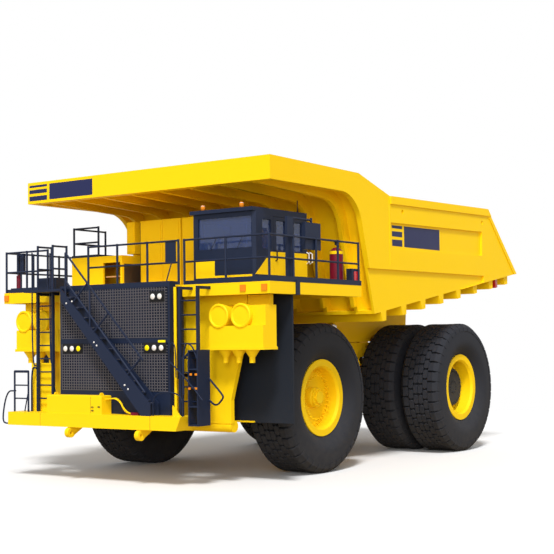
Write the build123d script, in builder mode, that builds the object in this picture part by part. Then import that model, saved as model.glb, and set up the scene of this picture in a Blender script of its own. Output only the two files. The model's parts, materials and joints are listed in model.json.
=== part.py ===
from build123d import *
import os
from math import atan2, cos, hypot, pi, sin, tan

# Mining dump truck with a tipping body, in millimetres.
# X points forward, Y to the driver's left, Z up. The origin is on the ground, under the middle.
# Places along the truck are stations: distances ahead of the rear axle.

os.makedirs("parts", exist_ok=True)

# Running gaps
seat_gap = 0.3
thrust_gap = 0.3
bearing_gap = 3
door_gap = 8

# Wheels and tyres
wheelbase = 6350
tyre_radius = 1720
tyre_sides = 40
tyre_width = 1130
tyre_tread_width = 880
tyre_shoulder_width = 1040
tyre_shoulder_radius = 1620
tyre_belly_radius = 1250
bead_radius = 724
bead_width = 720
rim_flange_radius = 880
rim_flange_thickness = 40
rim_wall = 34
front_tyre_y = 2480
rear_tyre_y = 2820
dual_spacing = 1300
hub_height = tyre_radius * cos(pi / tyre_sides)
rim_lip = 45
rim_lip_length = 60
tyre_dish = 40
disc_thickness = 60
front_disc_offset = 60
rear_disc_offset = -60
drum_radius = 575
drum_depth = 163
drum_bevel = 30
hub_radius = 215
hub_step = 45
cap_radius = 140
cap_step = 50
motor_cover_radius = 490
motor_cover_depth = 246
motor_cover_bevel = 25

# Frame
rail_inner = 560
rail_outer = 820
frame_front = 10050
frame_front_top = 2250
frame_ramp_front = 5700
frame_ramp_rear = 4700
frame_rear_top = 2950
frame_rear_bottom = 2560
frame_tail = -1450
frame_kick_rear = 1250
frame_kick_front = 2850
cross_tube_radius = 150
nose_tube_station = 9280
nose_tube_height = 1235
nose_tube_radius = 125
nose_tube_half_length = 2560
frame_bottom = nose_tube_height + nose_tube_radius

# Body pivot on the frame
pivot_station = -1100
pivot_height = 3290
pivot_eye_radius = 200
pivot_pin_radius = 90
pivot_ear_thickness = 80
pivot_ear_radius = 170

# Hoist cylinders
hoist_y = 1030
hoist_base_station = 2700
hoist_base_height = 1500
hoist_top_station = 3000
hoist_top_drop = 398
hoist_eye_radius = 130
hoist_eye_thickness = 160
hoist_neck_radius = 68
hoist_pin_radius = 60
hoist_plate = 60
hoist_barrel_radius = 185
hoist_stage_radius = 145
hoist_rod_radius = 105
hoist_wall_gap = 3
hoist_barrel_length = 1800
hoist_bore_floor = 100
hoist_stage_floor = 80
hoist_stage_show = 40
hoist_shoulder = 20
hoist_foot_side = 50
hoist_foot_drop = 110
hoist_foot_plate = 80

# Bumper and tow lugs
bumper_front = 10600
bumper_top = 1500
bumper_bottom = 1205
bumper_left = 2170
bumper_right = -2940
bumper_end_slant = 130
tow_lug_station = 10560
tow_lug_y = 1020
tow_lug_height = 1085
tow_lug_radius = 110
tow_lug_bore = 42
tow_lug_thickness = 110
tow_lug_root = 420

# Body
body_half_width = 3606
side_thickness = 130
side_recess = 60
body_floor_front = 5050
body_floor_front_height = 3640
tail_reach = 2900
tail_height = 4874
tail_top_station = -1070
tail_top_height = 6608
side_kink_station = 4337
side_kink_height = 6495
canopy_kink_station = 5780
canopy_kink_height = 6906
canopy_front = 9335
canopy_bottom = 6420
canopy_top = 6934
canopy_lip_depth = 250
canopy_bend = 900
wall_lean = 306 / 1061
floor_plate = 80
skin_plate = 60
rib_depth = 180
rib_width = 110
rib_count = 8
bolster_count = 8
bolster_depth = 230
bolster_width = 260
bolster_first = 420
bolster_last = 7450
sill_gap = 25
sill_front = 4900

# Decks
deck_front = 9820
deck_rear = 6250
deck_half_width = 3912
deck_top = 4258
deck_plate = 40
deck_beam = 254
deck_beam_width = 120
toe_board = 85
rail_tube = 22
rail_post = 26
toe_board_thickness = 14
rail_height = 960
rail_mid_height = 490
rail_inset = 40

# Grille and radiator
grille_front = 10250
grille_half_width = 1613
grille_top = 4330
grille_open_half_width = 1562
grille_open_top = 4215
grille_open_bottom = 2000
grille_bar = 18
grille_bars = 40
grille_middle_bar = 60
grille_bar_depth = 60
grille_cross_bar = 110
grille_cross_height = 3080
radiator_back = 9650

# Cab
cab_front_station = 9250
cab_rear_station = 7250
cab_walkway = 792
cab_width = 1700
cab_left = deck_half_width - cab_walkway
cab_right = cab_left - cab_width
cab_top = 5880
cab_corner = 60
cab_wall = 80
cab_roof_visor = 70
glass_thickness = 12
door_rear = 7980
door_front = 8560
door_sill = 4400
door_top = 5720
hinge_radius = 22
hinge_out = 26
hinge_knuckle = 100
hinge_low = 200
hinge_high = 300

# Front suspension and steering
strut_y = 1450
strut_radius = 230
strut_bottom = 2010
strut_top = 3300
knuckle_radius = 210
knuckle_bottom = 1000
spindle_radius = 200
tie_arm = 620
tie_height = 1225
tie_eye_radius = 80
tie_eye_thickness = 110
tie_rod_radius = 48
tie_pin_radius = 34
steer_arm = 400
steer_height = 1480
steer_base_station = 7550
steer_y = strut_y - steer_arm
steer_eye_radius = 75
steer_eye_thickness = 90
steer_neck_radius = 38
steer_plate = 45
steer_barrel_radius = 85
steer_barrel_length = 640
steer_rod_radius = 40
steer_rod_inside = 230

front_axle = wheelbase
rear_axle_x = (tail_reach - tow_lug_station - tow_lug_radius) / 2
sides = (1, -1)


def st(station):
    """X of a station, a distance ahead of the rear axle."""
    return rear_axle_x + station


def block(x0, x1, y0, y1, z0, z1, mode=Mode.ADD):
    """Box between two corners, added to the part being built; X values are stations."""
    with Locations((st((x0 + x1) / 2), (y0 + y1) / 2, (z0 + z1) / 2)):
        Box(abs(x1 - x0), abs(y1 - y0), abs(z1 - z0), mode=mode)


def side_plate(points, y0, y1, mode=Mode.ADD):
    """Flat plate with an outline of (station, height) points, from y0 to y1."""
    with BuildSketch(Plane.XZ.offset(-max(y0, y1))) as outline:
        with BuildLine():
            Polyline(*[(st(x), z) for x, z in points], close=True)
        make_face()
    extrude(outline.sketch, amount=abs(y1 - y0), mode=mode)


def plan_plate(points, z0, z1):
    """Prism between two heights, from an outline of (station, y) points."""
    with BuildSketch(Plane.XY.offset(z0)) as outline:
        with BuildLine():
            Polyline(*[(st(x), y) for x, y in points], close=True)
        make_face()
    extrude(outline.sketch, amount=z1 - z0)


def front_plate(points, x0, x1, mode=Mode.ADD):
    """Flat plate with an outline of (y, height) points, from station x0 to x1."""
    with BuildSketch(Plane.YZ.offset(st(min(x0, x1)))) as outline:
        with BuildLine():
            Polyline(*points, close=True)
        make_face()
    extrude(outline.sketch, amount=abs(x1 - x0), mode=mode)


def rod(start, end, radius, mode=Mode.ADD):
    """Round bar between two (station, y, height) points."""
    a = Vector(st(start[0]), start[1], start[2])
    b = Vector(st(end[0]), end[1], end[2])
    with BuildSketch(Plane(origin=a, z_dir=b - a)) as section:
        Circle(radius)
    extrude(section.sketch, amount=(b - a).length, mode=mode)


def cross_pin(station, y0, y1, height, radius, mode=Mode.ADD):
    """Round bar along Y."""
    with Locations((st(station), (y0 + y1) / 2, height)):
        Cylinder(radius, abs(y1 - y0), rotation=(90, 0, 0), mode=mode)


def upright(station, y, z0, z1, radius, mode=Mode.ADD):
    """Round bar along Z."""
    with Locations((st(station), y, (z0 + z1) / 2)):
        Cylinder(radius, z1 - z0, mode=mode)


def turned(outline, station, height):
    """Solid turned about a line along Y from an outline of (y, radius) points."""
    with BuildSketch(Plane(origin=(st(station), 0, height), x_dir=(0, 1, 0), z_dir=(1, 0, 0))) as section:
        with BuildLine():
            Polyline(*outline, close=True)
        make_face()
    revolve(section.sketch, axis=Axis((st(station), 0, height), (0, 1, 0)))


def save(builder, name):
    """Label a finished piece and write it."""
    builder.part.label = name
    export_step(builder.part, f"parts/{name}.step")


# Frame: two box rails, cross tubes and the body pivot ears, welded into one piece
rail_outline = [
    (frame_front, frame_bottom),
    (frame_front, frame_front_top),
    (frame_ramp_front, frame_front_top),
    (frame_ramp_rear, frame_rear_top),
    (frame_tail, frame_rear_top),
    (frame_tail, frame_rear_bottom),
    (frame_kick_rear, frame_rear_bottom),
    (frame_kick_front, frame_bottom),
]
ear_outline = [
    (pivot_station - 2 * pivot_ear_radius, frame_rear_bottom),
    (pivot_station + 2 * pivot_ear_radius, frame_rear_bottom),
    (pivot_station + pivot_ear_radius, pivot_height),
    (pivot_station - pivot_ear_radius, pivot_height),
]
axle_nose_station = 2600
axle_nose_height = 1750
front_cross_station = 9500
front_cross_height = 1900
middle_cross_station = 4300
middle_cross_height = 1950
rear_strut_station = -640
rear_strut_y = 380
rear_strut_radius = 120
rear_cross_half = 150
rear_cross_depth = 220
cross_tubes = [
    (front_cross_station, front_cross_height),
    (middle_cross_station, middle_cross_height),
    (axle_nose_station, axle_nose_height),
]
hoist_in = hoist_y - hoist_eye_thickness / 2 - seat_gap
hoist_out = hoist_y + hoist_eye_thickness / 2 + seat_gap
hoist_foot_half = hoist_eye_radius + hoist_foot_side
hoist_foot_bottom = hoist_base_height - hoist_eye_radius - hoist_foot_drop
hoist_base_outline = [
    (hoist_base_station - hoist_foot_half, hoist_foot_bottom),
    (hoist_base_station + hoist_foot_half, hoist_foot_bottom),
    (hoist_base_station + hoist_eye_radius, hoist_base_height),
    (hoist_base_station - hoist_eye_radius, hoist_base_height),
]
with BuildPart() as frame:
    for s in sides:
        side_plate(rail_outline, s * rail_inner, s * rail_outer)
        for y0, y1 in (
            (rail_inner - pivot_ear_thickness, rail_inner),
            (rail_outer, rail_outer + pivot_ear_thickness),
        ):
            side_plate(ear_outline, s * y0, s * y1)
            cross_pin(pivot_station, s * y0, s * y1, pivot_height, pivot_ear_radius)
        cross_pin(
            pivot_station,
            s * (rail_inner - pivot_ear_thickness),
            s * (rail_outer + pivot_ear_thickness),
            pivot_height,
            pivot_pin_radius,
        )
        for y0, y1 in ((rail_outer, hoist_in), (hoist_out, hoist_out + hoist_plate)):
            side_plate(hoist_base_outline, s * y0, s * y1)
            cross_pin(hoist_base_station, s * y0, s * y1, hoist_base_height, hoist_eye_radius)
        block(
            hoist_base_station - hoist_foot_half,
            hoist_base_station + hoist_foot_half,
            s * rail_outer,
            s * (hoist_out + hoist_plate),
            hoist_foot_bottom,
            hoist_foot_bottom + hoist_foot_plate,
        )
        cross_pin(hoist_base_station, s * hoist_in, s * hoist_out, hoist_base_height, hoist_pin_radius)
    for station, height in cross_tubes:
        cross_pin(station, -rail_inner, rail_inner, height, cross_tube_radius)
    block(
        rear_strut_station - rear_cross_half,
        rear_strut_station + rear_cross_half,
        -rail_inner,
        rail_inner,
        frame_rear_bottom,
        frame_rear_bottom + rear_cross_depth,
    )
save(frame, "frame")

# Nose uprights: tapered plates on a cross tube under the rails, which carry the decks
upright_rear = 9300
upright_front = 9410
upright_head = (1230, 3050)
upright_waist = 2985
upright_waist_height = 3300
upright_shelf_height = 2350
upright_shin_height = 1800
upright_foot = (1900, 2573)
upright_foot_height = 1300
deck_under = deck_top - deck_plate
upright_outline = [
    (upright_head[0], deck_under),
    (upright_head[1], deck_under),
    (upright_waist, upright_waist_height),
    (upright_foot[1], upright_shin_height),
    (upright_foot[1], upright_foot_height),
    (upright_foot[0], upright_foot_height),
    (upright_foot[0], upright_shelf_height),
    (upright_head[0], upright_shelf_height),
]
with BuildPart() as front_uprights:
    cross_pin(
        nose_tube_station,
        -nose_tube_half_length,
        nose_tube_half_length,
        nose_tube_height,
        nose_tube_radius,
    )
    for s in sides:
        front_plate([(s * y, z) for y, z in upright_outline], upright_rear, upright_front)
save(front_uprights, "front_uprights")

# Bumper beam with a slanted left end, a gusset, a plate behind the right ladder, posts by the grille
landing_plate = 58
landing_under = deck_top - landing_plate
post_station = 10150
post_clearance = 35
post_radius = 32
post_y = grille_half_width + post_clearance + post_radius
gusset_front = 10530
gusset_plate = 30
gusset_y = (1900, 2120)
gusset_top = 1730
ladder_plate_rear = 10080
ladder_plate_thickness = 30
ladder_plate_y = (-2680, -2000)
ladder_plate_top = 2600
with BuildPart() as front_bumper:
    front_plate(
        [
            (bumper_right, bumper_bottom),
            (bumper_left - bumper_end_slant, bumper_bottom),
            (bumper_left, bumper_top),
            (bumper_right, bumper_top),
        ],
        frame_front,
        bumper_front,
    )
    front_plate(
        [(gusset_y[0], bumper_top), (gusset_y[1], bumper_top), (gusset_y[0], gusset_top)],
        gusset_front - gusset_plate,
        gusset_front,
    )
    block(
        ladder_plate_rear,
        ladder_plate_rear + ladder_plate_thickness,
        *ladder_plate_y,
        bumper_top,
        ladder_plate_top,
    )
    for s in sides:
        upright(post_station, s * post_y, bumper_top, landing_under, post_radius)
save(front_bumper, "front_bumper")

# Tow lugs under the bumper, each with a pin bore across it
with BuildPart() as tow_lugs:
    for s in sides:
        y0 = s * tow_lug_y - tow_lug_thickness / 2
        y1 = y0 + tow_lug_thickness
        side_plate(
            [
                (tow_lug_station - tow_lug_root, bumper_bottom),
                (tow_lug_station, bumper_bottom),
                (tow_lug_station, tow_lug_height - tow_lug_radius),
            ],
            y0,
            y1,
        )
        cross_pin(tow_lug_station, y0, y1, tow_lug_height, tow_lug_radius)
        cross_pin(tow_lug_station, y0, y1, tow_lug_height, tow_lug_bore, mode=Mode.SUBTRACT)
save(tow_lugs, "tow_lugs")

# Grille: a frame with upright bars, a cross bar and the plates that carry the lamps
lamp_radius = 70
lamp_plate_edge = 115
lamp_plate_proud = 15
lamp_rows = [((1009, 1208, 1407), 2922), ((1180, 1373), 4010)]
lamp_plate_front = grille_front + lamp_plate_proud
with BuildPart() as grille:
    block(frame_front, grille_front, -grille_half_width, grille_half_width, bumper_top, grille_top)
    block(
        frame_front,
        grille_front,
        -grille_open_half_width,
        grille_open_half_width,
        grille_open_bottom,
        grille_open_top,
        mode=Mode.SUBTRACT,
    )
    bar_spacing = 2 * grille_open_half_width / grille_bars
    for i in range(1, grille_bars):
        y = -grille_open_half_width + i * bar_spacing
        block(
            grille_front - grille_bar_depth,
            grille_front,
            y - grille_bar / 2,
            y + grille_bar / 2,
            grille_open_bottom,
            grille_open_top,
        )
    block(
        grille_front - grille_bar_depth,
        grille_front,
        -grille_open_half_width,
        grille_open_half_width,
        grille_cross_height - grille_cross_bar / 2,
        grille_cross_height + grille_cross_bar / 2,
    )
    block(
        grille_front - grille_bar_depth,
        grille_front,
        -grille_middle_bar / 2,
        grille_middle_bar / 2,
        grille_open_bottom,
        grille_open_top,
    )
    for s in sides:
        for spots, z in lamp_rows:
            block(
                grille_front - grille_bar_depth,
                lamp_plate_front,
                s * (min(spots) - lamp_plate_edge),
                s * (max(spots) + lamp_plate_edge),
                z - lamp_plate_edge,
                z + lamp_plate_edge,
            )
save(grille, "grille")

# Radiator behind the grille, and the engine between the rails
radiator_inset = 60
with BuildPart() as radiator_core:
    block(
        radiator_back,
        frame_front,
        -grille_open_half_width + radiator_inset,
        grille_open_half_width - radiator_inset,
        frame_front_top,
        grille_open_top,
    )
save(radiator_core, "radiator_core")

engine_rear = 6900
engine_front = 9300
engine_bottom = 1500
engine_top = 3300
with BuildPart() as engine_block:
    block(engine_rear, engine_front, -rail_inner, rail_inner, engine_bottom, engine_top)
save(engine_block, "engine_block")

# Lamps: round ones on the grille, square markers on the deck beam, beacons on the cab
lamp_depth = 24
marker_places = ((1, 135), (1, 679), (-1, 95))
marker_size = 130
beacon_radius = 45
beacon_height = 130
beacon_inset = 180
beacon_left_inset = 460
with BuildPart() as lamps:
    for s in sides:
        for spots, z in lamp_rows:
            for y in spots:
                rod((lamp_plate_front, s * y, z), (lamp_plate_front + lamp_depth, s * y, z), lamp_radius)
    for s, inset in marker_places:
        y = s * (deck_half_width - inset)
        block(
            deck_front,
            deck_front + lamp_depth,
            y - marker_size / 2,
            y + marker_size / 2,
            deck_top - deck_beam / 2 - marker_size / 2,
            deck_top - deck_beam / 2 + marker_size / 2,
        )
    for y in (cab_right + beacon_inset, cab_left - beacon_left_inset):
        upright(cab_front_station - beacon_inset, y, cab_top, cab_top + beacon_height, beacon_radius)
save(lamps, "lamps")

# Deck: a plate on a ring of beams, drawn in to the grille at the middle
with BuildPart() as deck:
    block(deck_rear, deck_front, -deck_half_width, deck_half_width, deck_under, deck_top)
    block(deck_front, frame_front, -grille_half_width, grille_half_width, deck_under, deck_top)
    block(deck_rear, deck_front, -deck_half_width, deck_half_width, deck_top - deck_beam, deck_under)
    block(
        deck_rear + deck_beam_width,
        deck_front - deck_beam_width,
        -deck_half_width + deck_beam_width,
        deck_half_width - deck_beam_width,
        deck_top - deck_beam,
        deck_under,
        mode=Mode.SUBTRACT,
    )
    block(
        radiator_back - radiator_inset,
        deck_front,
        -grille_half_width,
        grille_half_width,
        deck_top - deck_beam,
        deck_under,
        mode=Mode.SUBTRACT,
    )
save(deck, "deck")

# Deck rails: toe boards, posts and two tubes on each open edge, hoops over the right ladder
rail_y = deck_half_width - rail_inset
rail_front = deck_front - rail_inset
rail_rear = deck_rear + rail_inset
front_rail_ends = (-1180, 1480)
left_rail_start = 1640
right_rail_start = -2480
rail_runs = [
    [(rail_front, left_rail_start), (rail_front, rail_y), (rail_rear, rail_y)],
    [(rail_front, right_rail_start), (rail_front, -rail_y), (rail_rear, -rail_y)],
    [(rail_front, front_rail_ends[0]), (rail_front, front_rail_ends[1])],
]
post_spacing = 900
ladder_station = 10220
ladder_inner = 1870
ladder_outer = 2350
hoop_height = 1005
with BuildPart() as deck_rails:
    for run in rail_runs:
        for (x0, y0), (x1, y1) in zip(run, run[1:]):
            length = hypot(x1 - x0, y1 - y0)
            count = max(1, round(length / post_spacing))
            for i in range(count + 1):
                x = x0 + (x1 - x0) * i / count
                y = y0 + (y1 - y0) * i / count
                upright(x, y, deck_top, deck_top + rail_height + rail_post, rail_post)
            for height in (rail_mid_height, rail_height):
                rod((x0, y0, deck_top + height), (x1, y1, deck_top + height), rail_tube)
            block(
                min(x0, x1) - toe_board_thickness / 2,
                max(x0, x1) + toe_board_thickness / 2,
                min(y0, y1) - toe_board_thickness / 2,
                max(y0, y1) + toe_board_thickness / 2,
                deck_top,
                deck_top + toe_board,
            )
    for y in (-ladder_inner, -ladder_outer):
        for x in (rail_front, ladder_station):
            upright(x, y, deck_top, deck_top + hoop_height + rail_post, rail_post)
        for height in (rail_mid_height, hoop_height):
            rod((rail_front, y, deck_top + height), (ladder_station, y, deck_top + height), rail_tube)
save(deck_rails, "deck_rails")

# Ladders beside the grille, the stub ladder on the bumper and the boarding steps
ladder_bar = 60
ladder_top = landing_under
rung_spacing = 300
rung_radius = 16
stub_station = 10430
stub_inner = -2450
stub_outer = -2900
stub_top = 2420
step_rear = 9950
step_front = 10350
step_inner = bumper_left
step_outer = 2440
step_bottom = 1300
step_top = 2870
step_count = 5
step_plate = 30
grab_station = 10300
grab_y = (2000, step_inner + step_plate / 2)
grab_height = 2700
with BuildPart() as ladders:
    for s in sides:
        for y in (ladder_inner, ladder_outer):
            block(
                ladder_station - ladder_bar / 2,
                ladder_station + ladder_bar / 2,
                s * y - ladder_bar / 2,
                s * y + ladder_bar / 2,
                bumper_top,
                ladder_top,
            )
            block(
                deck_front,
                ladder_station,
                s * y - ladder_bar / 2,
                s * y + ladder_bar / 2,
                ladder_top - ladder_bar,
                ladder_top,
            )
        for i in range(1, int((ladder_top - bumper_top - 2 * rung_radius) / rung_spacing) + 1):
            z = bumper_top + i * rung_spacing
            rod((ladder_station, s * ladder_inner, z), (ladder_station, s * ladder_outer, z), rung_radius)
    for y in (stub_inner, stub_outer):
        upright(stub_station, y, bumper_top, stub_top, rail_tube)
    for z in range(int(bumper_top) + rung_spacing, int(stub_top), rung_spacing):
        rod((stub_station, stub_inner, z), (stub_station, stub_outer, z), rung_radius)
    rod((stub_station, stub_inner, stub_top), (stub_station, stub_outer, stub_top), rail_tube)
    for y in (step_inner, step_outer - step_plate):
        block(step_rear, step_front, y, y + step_plate, step_bottom, step_top)
    for i in range(step_count):
        z = step_bottom + (step_top - step_bottom - step_plate) * i / (step_count - 1)
        block(step_rear, step_front, step_inner, step_outer, z, z + step_plate)
    upright(grab_station, grab_y[0], bumper_top, grab_height, rail_tube)
    rod(
        (grab_station, grab_y[0], grab_height - rail_tube),
        (grab_station, grab_y[1], step_top - 2 * rail_tube),
        rail_post,
    )
save(ladders, "ladders")

# Stair across the front of the grille, with its landing and hand rail
stair_rear = 10290
stair_front = bumper_front
stair_foot_y = 1350
stair_head_y = -1260
stair_stringer = 40
stair_stringer_height = 260
stair_treads = 11
tread_depth = 220
tread_plate = 30
stair_rail_height = 330
stair_guard_height = 950
stair_guard_end = -376
stair_struts = (0.13, 0.37, 0.72, 0.93)
stair_post_inset = 150
landing_end = -2420
stair_rise = deck_top - bumper_top
stair_run = stair_head_y - stair_foot_y
stair_lift = stair_stringer_height
with BuildPart() as stair:
    for x0 in (stair_rear, stair_front - stair_stringer):
        front_plate(
            [
                (stair_foot_y, bumper_top),
                (stair_foot_y, bumper_top + stair_lift),
                (stair_head_y, deck_top),
                (stair_head_y, deck_top - stair_lift),
                (stair_foot_y - stair_lift, bumper_top),
            ],
            x0,
            x0 + stair_stringer,
        )
    for i in range(1, stair_treads + 1):
        y = stair_foot_y + stair_run * i / (stair_treads + 1)
        z = bumper_top + stair_rise * i / (stair_treads + 1)
        block(stair_rear, stair_front, y - tread_depth / 2, y + tread_depth / 2, z, z + tread_plate)
    block(grille_front, stair_front, landing_end, stair_head_y, deck_top - landing_plate, deck_top)
    block(deck_front, grille_front, landing_end, -grille_half_width, deck_top - landing_plate, deck_top)
    rail_station = stair_front - stair_stringer / 2
    rail_slope = stair_rise / stair_run
    rail_ends = (stair_foot_y - stair_post_inset, stair_head_y + stair_post_inset)
    for height, ends in (
        (stair_rail_height, rail_ends),
        (stair_guard_height, (stair_guard_end, rail_ends[1])),
    ):
        low, high = [
            (rail_station, y, bumper_top + rail_slope * (y - stair_foot_y) + height) for y in ends
        ]
        rod(low, high, rail_tube)
    for y in (stair_guard_end, rail_ends[1]):
        z = bumper_top + rail_slope * (y - stair_foot_y)
        upright(rail_station, y, z, z + stair_guard_height, rail_tube)
    strut_reach = stair_rail_height / (1 + rail_slope**2)
    for share in stair_struts:
        y = stair_foot_y + stair_run * (1 - share)
        z = bumper_top + rail_slope * (y - stair_foot_y)
        rod(
            (rail_station, y, z),
            (rail_station, y - strut_reach * rail_slope, z + strut_reach),
            rail_tube,
        )
save(stair, "stair")

# Battery box on the bumper, with two lifting eyes
battery_rear = 10280
battery_front = 10580
battery_right = -1700
battery_left = -40
battery_top = 1905
battery_edge = 25
eye_radius = 60
eye_hole = 30
eye_plate = 24
eye_inset = 140
with BuildPart() as battery_box:
    block(battery_rear, battery_front, battery_right, battery_left, bumper_top, battery_top)
    fillet(battery_box.faces().sort_by(Axis.Z)[-1].edges(), battery_edge)
    battery_middle = (battery_rear + battery_front) / 2
    for y in (battery_right + eye_inset, battery_left - eye_inset):
        cross_pin(battery_middle, y - eye_plate / 2, y + eye_plate / 2, battery_top, eye_radius)
        cross_pin(
            battery_middle,
            y - eye_plate / 2,
            y + eye_plate / 2,
            battery_top + eye_radius - eye_hole,
            eye_hole / 2,
            mode=Mode.SUBTRACT,
        )
save(battery_box, "battery_box")

# Air cleaners under the decks: two drums and a housing over a trough with dust cups
cleaner_rears = (-3430, 2380)
cleaner_length = 1390
cleaner_front = 9880
drum_places = (255, 825)
drum_radius = 235
drum_lip = 20
drum_lip_reach = 60
drum_height = 3565
housing_back = 90
housing_top = 3780
trough_top = 3360
trough_bottom = 2860
flange_reach = 25
flange_plate = 60
cup_places = (280, 625, 970)
cup_radius = 165
cup_bottom = 2700
spout_radius = 60
spout_bottom = 2590
cup_station = cleaner_front - cup_radius - flange_reach
with BuildPart() as air_cleaners:
    for y0 in cleaner_rears:
        y1 = y0 + cleaner_length
        block(upright_front, cleaner_front, y0, y1, trough_bottom, trough_top)
        block(
            upright_front,
            cleaner_front + flange_reach,
            y0 - flange_reach,
            y1 + flange_reach,
            trough_bottom,
            trough_bottom + flange_plate,
        )
        block(
            upright_front,
            cleaner_front - housing_back,
            y0 + drum_places[1],
            y1,
            trough_top,
            housing_top,
        )
        for place in drum_places:
            y = y0 + place
            rod((upright_front, y, drum_height), (cleaner_front, y, drum_height), drum_radius)
            rod(
                (cleaner_front - drum_lip_reach, y, drum_height),
                (cleaner_front, y, drum_height),
                drum_radius + drum_lip,
            )
        for place in cup_places:
            with Locations((st(cup_station), y0 + place, (cup_bottom + trough_bottom) / 2)):
                Cone(spout_radius, cup_radius, trough_bottom - cup_bottom)
            upright(cup_station, y0 + place, spout_bottom, cup_bottom, spout_radius)
save(air_cleaners, "air_cleaners")

# Mud panels ahead of the front tyres
mud_panel_rear = 8800
mud_panel_thickness = 60
mud_panel_inner = 1700
mud_panel_inset = 132
mud_panel_bottom = 1300
with BuildPart() as mud_panels:
    for s in sides:
        block(
            mud_panel_rear,
            mud_panel_rear + mud_panel_thickness,
            s * mud_panel_inner,
            s * (deck_half_width - mud_panel_inset),
            mud_panel_bottom,
            deck_under,
        )
save(mud_panels, "mud_panels")

# Control cabinets on the deck: three stand in a row, a narrow one hangs on the first
cabinet_rear = 6800
cabinet_front = 7900
cabinet_top = 5950
cabinet_rows = [(-1270, -580), (-570, -20), (30, 1250)]
cabinet_edge = 18
narrow_right = -1700
narrow_left = -1450
narrow_bottom = 5180
narrow_back = 100
with BuildPart() as control_cabinet:
    for y0, y1 in cabinet_rows:
        block(cabinet_rear, cabinet_front, y0, y1, deck_top, cabinet_top)
    fillet(control_cabinet.edges().filter_by(Axis.Z).group_by(Axis.X)[-1], cabinet_edge)
    block(cabinet_rear, cabinet_front, narrow_right, narrow_left, narrow_bottom, cabinet_top)
    block(
        cabinet_rear,
        cabinet_rear + narrow_back,
        narrow_left,
        cabinet_rows[0][0],
        narrow_bottom,
        cabinet_top,
    )
save(control_cabinet, "control_cabinet")

# Retarder box on the right deck: hollow, with a mouth in its front and a guard rail on top
retarder_rear = 7100
retarder_front = 8300
retarder_inset = 752
retarder_right = retarder_inset - deck_half_width
retarder_left = -1500
retarder_top = 5130
retarder_wall = 60
mouth_right = -2120
mouth_bottom = 4450
mouth_top = 4970
guard_height = 720
guard_mid_height = 360
guard_end = -2300
lid_thickness = 60
with BuildPart() as retarder_box:
    block(retarder_rear, retarder_front, retarder_right, retarder_left, deck_top, retarder_top)
    block(
        retarder_rear + retarder_wall,
        retarder_front - retarder_wall,
        retarder_right + retarder_wall,
        retarder_left - retarder_wall,
        deck_top + retarder_wall,
        retarder_top - retarder_wall,
        mode=Mode.SUBTRACT,
    )
    block(
        retarder_front - retarder_wall,
        retarder_front,
        mouth_right,
        retarder_left - retarder_wall,
        mouth_bottom,
        mouth_top,
        mode=Mode.SUBTRACT,
    )
save(retarder_box, "retarder_box")

guard_front = retarder_front - rail_inset
guard_rear = retarder_rear + rail_inset
guard_right = retarder_right + rail_inset
guard_run = [(guard_front, guard_end), (guard_front, guard_right), (guard_rear, guard_right)]
with BuildPart() as retarder_guard:
    block(
        retarder_rear,
        retarder_front,
        retarder_right,
        guard_end,
        retarder_top,
        retarder_top + lid_thickness,
    )
    for x, y in guard_run:
        upright(x, y, retarder_top, retarder_top + guard_height + rail_post, rail_post)
    for height in (guard_mid_height, guard_height):
        for (x0, y0), (x1, y1) in zip(guard_run, guard_run[1:]):
            rod((x0, y0, retarder_top + height), (x1, y1, retarder_top + height), rail_tube)
save(retarder_guard, "retarder_guard")

# Lockers: a tool box by the right ladder, and the lamp housing at the rear of the left deck
tool_box_rear = 9250
tool_box_front = 9600
tool_box_right = -3000
tool_box_left = -2400
tool_box_height = 330
lamp_housing_length = 290
lamp_housing_width = 150
lamp_housing_height = 380
with BuildPart() as deck_lockers:
    block(
        tool_box_rear,
        tool_box_front,
        tool_box_right,
        tool_box_left,
        deck_top,
        deck_top + tool_box_height,
    )
    block(
        deck_rear,
        deck_rear + lamp_housing_length,
        rail_y - rail_post - lamp_housing_width,
        rail_y - rail_post - seat_gap,
        deck_top,
        deck_top + lamp_housing_height,
    )
save(deck_lockers, "deck_lockers")

# Fire bottles on the decks: a large one behind the cab and a small one at the right front
bottle_spots = [
    (6560, deck_half_width - 462, 155, 800),
    (9560, 232 - deck_half_width, 62, 420),
]
with BuildPart() as fire_bottles:
    for station, y, radius, height in bottle_spots:
        upright(station, y, deck_top, deck_top + height, radius)
        with Locations((st(station), y, deck_top + height)):
            Sphere(radius, arc_size1=0)
save(fire_bottles, "fire_bottles")

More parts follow.
